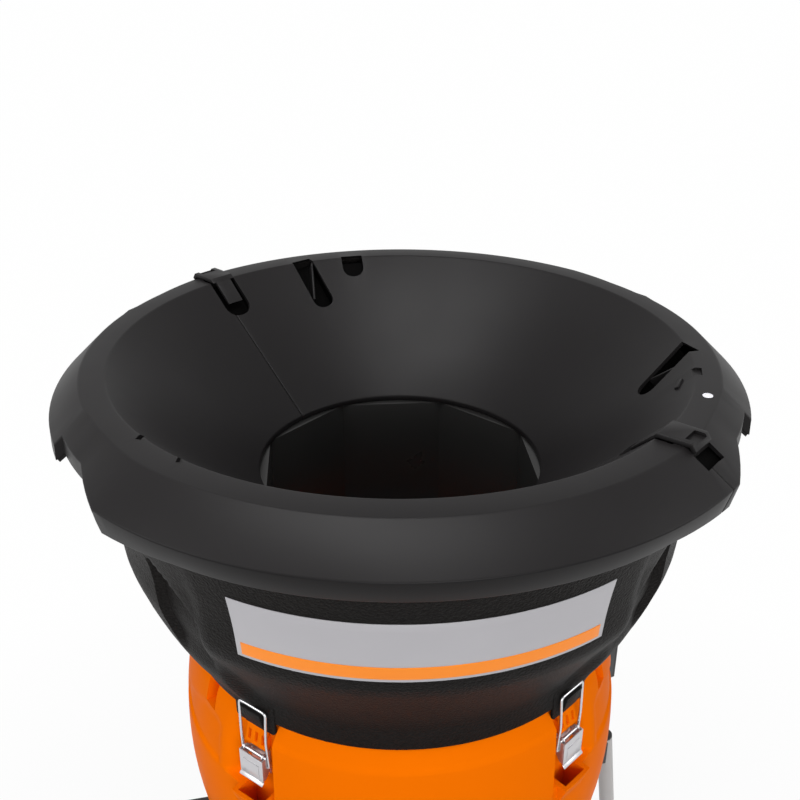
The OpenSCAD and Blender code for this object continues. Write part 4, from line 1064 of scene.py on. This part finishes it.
cut(drum, [scoop_pocket(a) for a in LATCH_AZIMUTHS] + [lobe_slot(a) for a in four_around(LATCH_A + SLOT_A)])
print("Drum's faces after the cuts:", len(drum.data.polygons))

# %% Ramps with three slots on the recess floors
RAMP_LOW, RAMP_HIGH = NECK_Z - 42.5 * MM, NECK_Z - 20 * MM
RAMP_BACK, RAMP_FOOT, RAMP_HEAD = RECESS_R - 1 * MM, RECESS_R + 7.5 * MM, RECESS_R + 2.5 * MM
RAMP_W = 28 * MM
RAMP_BARS = ((-14, -10.2), (-6.8, -1.7), (1.7, 6.8), (10.2, 14))


def ramp_bar(low, high, width, sunk, rounding):
    """A bar of the ramp between two heights, set back a little from its face."""
    foot, head = (RAMP_FOOT + (RAMP_HEAD - RAMP_FOOT) * blend(z, RAMP_LOW, RAMP_HIGH) - sunk
                  for z in (low, high))
    bar = prism_bm([(RAMP_BACK, low), (foot, low), (head, high), (RAMP_BACK, high)], width)
    soften_edges(bar, rounding)
    return bar


def ramp_bm(azimuth):
    """Four upright bars, tied by one bar along the foot and one along the head."""
    bars = []
    for left, right in RAMP_BARS:
        bar = ramp_bar(RAMP_LOW, RAMP_HIGH, (right - left) * MM, 0.0, 0.5 * MM)
        bars.append(turned(bar, Matrix.Translation((0, (left + right) / 2 * MM, 0))))
    for low, high in ((RAMP_LOW, RAMP_LOW + 4 * MM), (RAMP_HIGH - 8 * MM, RAMP_HIGH)):
        bars.append(ramp_bar(low, high, RAMP_W, 0.1 * MM, 0.4 * MM))
    return turned(joined(bars), at_azimuth(azimuth))


make_piece("latch_ramps", joined([ramp_bm(a) for a in LATCH_AZIMUTHS]), "drum_orange", "frame")

# %% [markdown]
# ## Toggle latches
# A latch is a pressed steel lever with a wire bail. The lever is a channel: a face with a raised rectangle
# and two cheeks, softened as bent sheet is. The bail is bent wire, so a curve with a round bevel is turned
# into a mesh. Its pivot is the joint's own place.

# %% Lever
LEVER_X = 235.3 * MM
LEVER_W = 30 * MM
LEVER_LOW, LEVER_HIGH = 590 * MM, 621 * MM
SHEET = 1.5 * MM
CHEEK_X = LEVER_X - 9.3 * MM


def lever_bm(azimuth):
    bend = LEVER_LOW + 4 * MM
    face = box_bm((LEVER_X, -LEVER_W / 2, bend), (LEVER_X + SHEET, LEVER_W / 2, LEVER_HIGH))
    lip = prism_bm([(LEVER_X, bend), (LEVER_X + SHEET, bend), (LEVER_X + 4 * MM, LEVER_LOW + 1.2 * MM),
                    (LEVER_X + 3.2 * MM, LEVER_LOW)], LEVER_W)
    raised = box_bm((LEVER_X, -10 * MM, LEVER_LOW + 8 * MM),
                    (LEVER_X + SHEET + 0.8 * MM, 10 * MM, LEVER_HIGH - 8 * MM))
    parts = [face, lip, raised]
    for side in (-1, 1):
        cheek = prism_bm([(LEVER_X + 0.4 * MM, LEVER_LOW + 5 * MM), (LEVER_X + 0.4 * MM, LEVER_HIGH),
                          (CHEEK_X + 0.5 * MM, LEVER_HIGH), (CHEEK_X, LEVER_LOW + 15 * MM),
                          (CHEEK_X + 6 * MM, LEVER_LOW + 6 * MM)], SHEET)
        parts.append(turned(cheek, Matrix.Translation((0, side * (LEVER_W - SHEET) / 2, 0))))
    for part in parts:
        soften_edges(part, 0.6 * MM)
    return turned(joined(parts), at_azimuth(azimuth))


for number, azimuth in enumerate(LATCH_AZIMUTHS, 1):
    node = "latch_lever_%d" % number
    make_piece("lever_%d" % number, lever_bm(azimuth), "latch_steel", body_of_node[node], node)

# %% Bent wire
def wire_bm(points, radius, corner):
    """Bent wire through points, with its corners rounded."""
    path = [Vector(p) for p in points]
    rounded = [path[0]]
    for before, point, after in zip(path, path[1:], path[2:]):
        start = point + (before - point).normalized() * min(corner, (before - point).length / 2)
        end = point + (after - point).normalized() * min(corner, (after - point).length / 2)
        for t in (0, 0.25, 0.5, 0.75, 1):
            rounded.append((1 - t) ** 2 * start + 2 * t * (1 - t) * point + t * t * end)
    rounded.append(path[-1])
    curve = bpy.data.curves.new("wire", "CURVE")
    curve.dimensions = "3D"
    curve.bevel_depth = radius
    curve.bevel_resolution = 3
    curve.use_fill_caps = True
    spline = curve.splines.new("POLY")
    spline.points.add(len(rounded) - 1)
    for place, point in zip(spline.points, rounded):
        place.co = (*point, 1.0)
    holder = bpy.data.objects.new("wire", curve)
    bpy.context.scene.collection.objects.link(holder)
    mesh = bpy.data.meshes.new_from_object(holder.evaluated_get(bpy.context.evaluated_depsgraph_get()))
    bm = bmesh.new()
    bm.from_mesh(mesh)
    bpy.data.objects.remove(holder)
    bpy.data.curves.remove(curve)
    bpy.data.meshes.remove(mesh)
    bmesh.ops.remove_doubles(bm, verts=bm.verts, dist=1e-6)
    bmesh.ops.recalc_face_normals(bm, faces=bm.faces)
    return bm


# %% Bails
bail_pivot = Vector(joint_of["latch_bail_1_swing"]["pos_m"])
BAIL_R, PIVOT_Z = bail_pivot.xy.length, bail_pivot.z
BEND_Z = PIVOT_Z + 32 * MM
BAIL_HALF = 16.8 * MM
BAIL_INNER = 12.8 * MM
BAIL_CORNER = 4 * MM


def bail_bm(azimuth):
    leg = [(BAIL_R, BAIL_INNER, PIVOT_Z), (BAIL_R, BAIL_HALF, PIVOT_Z),
           (BAIL_R + 1.5 * MM, BAIL_HALF - 0.8 * MM, BEND_Z), (BAIL_R, BAIL_HALF, BAIL_Z)]
    path = leg + [(x, -y, z) for x, y, z in reversed(leg)]
    return turned(wire_bm(path, WIRE_R, BAIL_CORNER), at_azimuth(azimuth))


for number, azimuth in enumerate(LATCH_AZIMUTHS, 1):
    node = "latch_bail_%d" % number
    make_piece("bail_%d" % number, bail_bm(azimuth), "wire_steel", body_of_node[node], node)

# %% [markdown]
# ## Softened CAD pieces
# Many pieces have the right shape already, but the CAD's edges are knife sharp, and a moulding or a
# pressing has none. A Bevel modifier on the CAD object would round triangle edges too, so each of these
# is copied, its triangles are merged into flat faces, and only the true edges are rounded.

# %% Soften copies
FLAT = math.radians(1.0)


def softened(node, width, segments=2):
    """A rounded copy of a CAD node, which it stands for."""
    bm = bmesh.new()
    bm.from_mesh(cad_nodes[node].data)
    bmesh.ops.remove_doubles(bm, verts=bm.verts, dist=1e-5)
    bmesh.ops.dissolve_limit(bm, angle_limit=FLAT, verts=bm.verts, edges=bm.edges, delimit={"NORMAL"})
    soften_edges(bm, width, segments)
    return make_piece(node + "_soft", bm, slot_of_node[node], body_of_node[node], node)


SOFT_WIDTHS = {
    # in mm
    "throat_chute": 1.0, "bag_neck": 1.0, "motor_spider": 1.2, "motor_pod": 1.2,
    "latch_brackets": 0.4, "leg_clamps": 1.5, "clamp_bolts": 0.5, "leg_plugs": 0.8,
    "feet": 1.2, "switch_box": 2.0, "switch_cover": 0.8, "start_button": 0.8,
    "stop_button": 0.8, "reset_button": 0.8, "power_inlet": 0.8, "line_head": 2.0,
    "head_nut": 0.6, "spider_screws": 0.6, "cover_screws": 0.4,
}
for node, width in SOFT_WIDTHS.items():
    softened(node, width * MM)
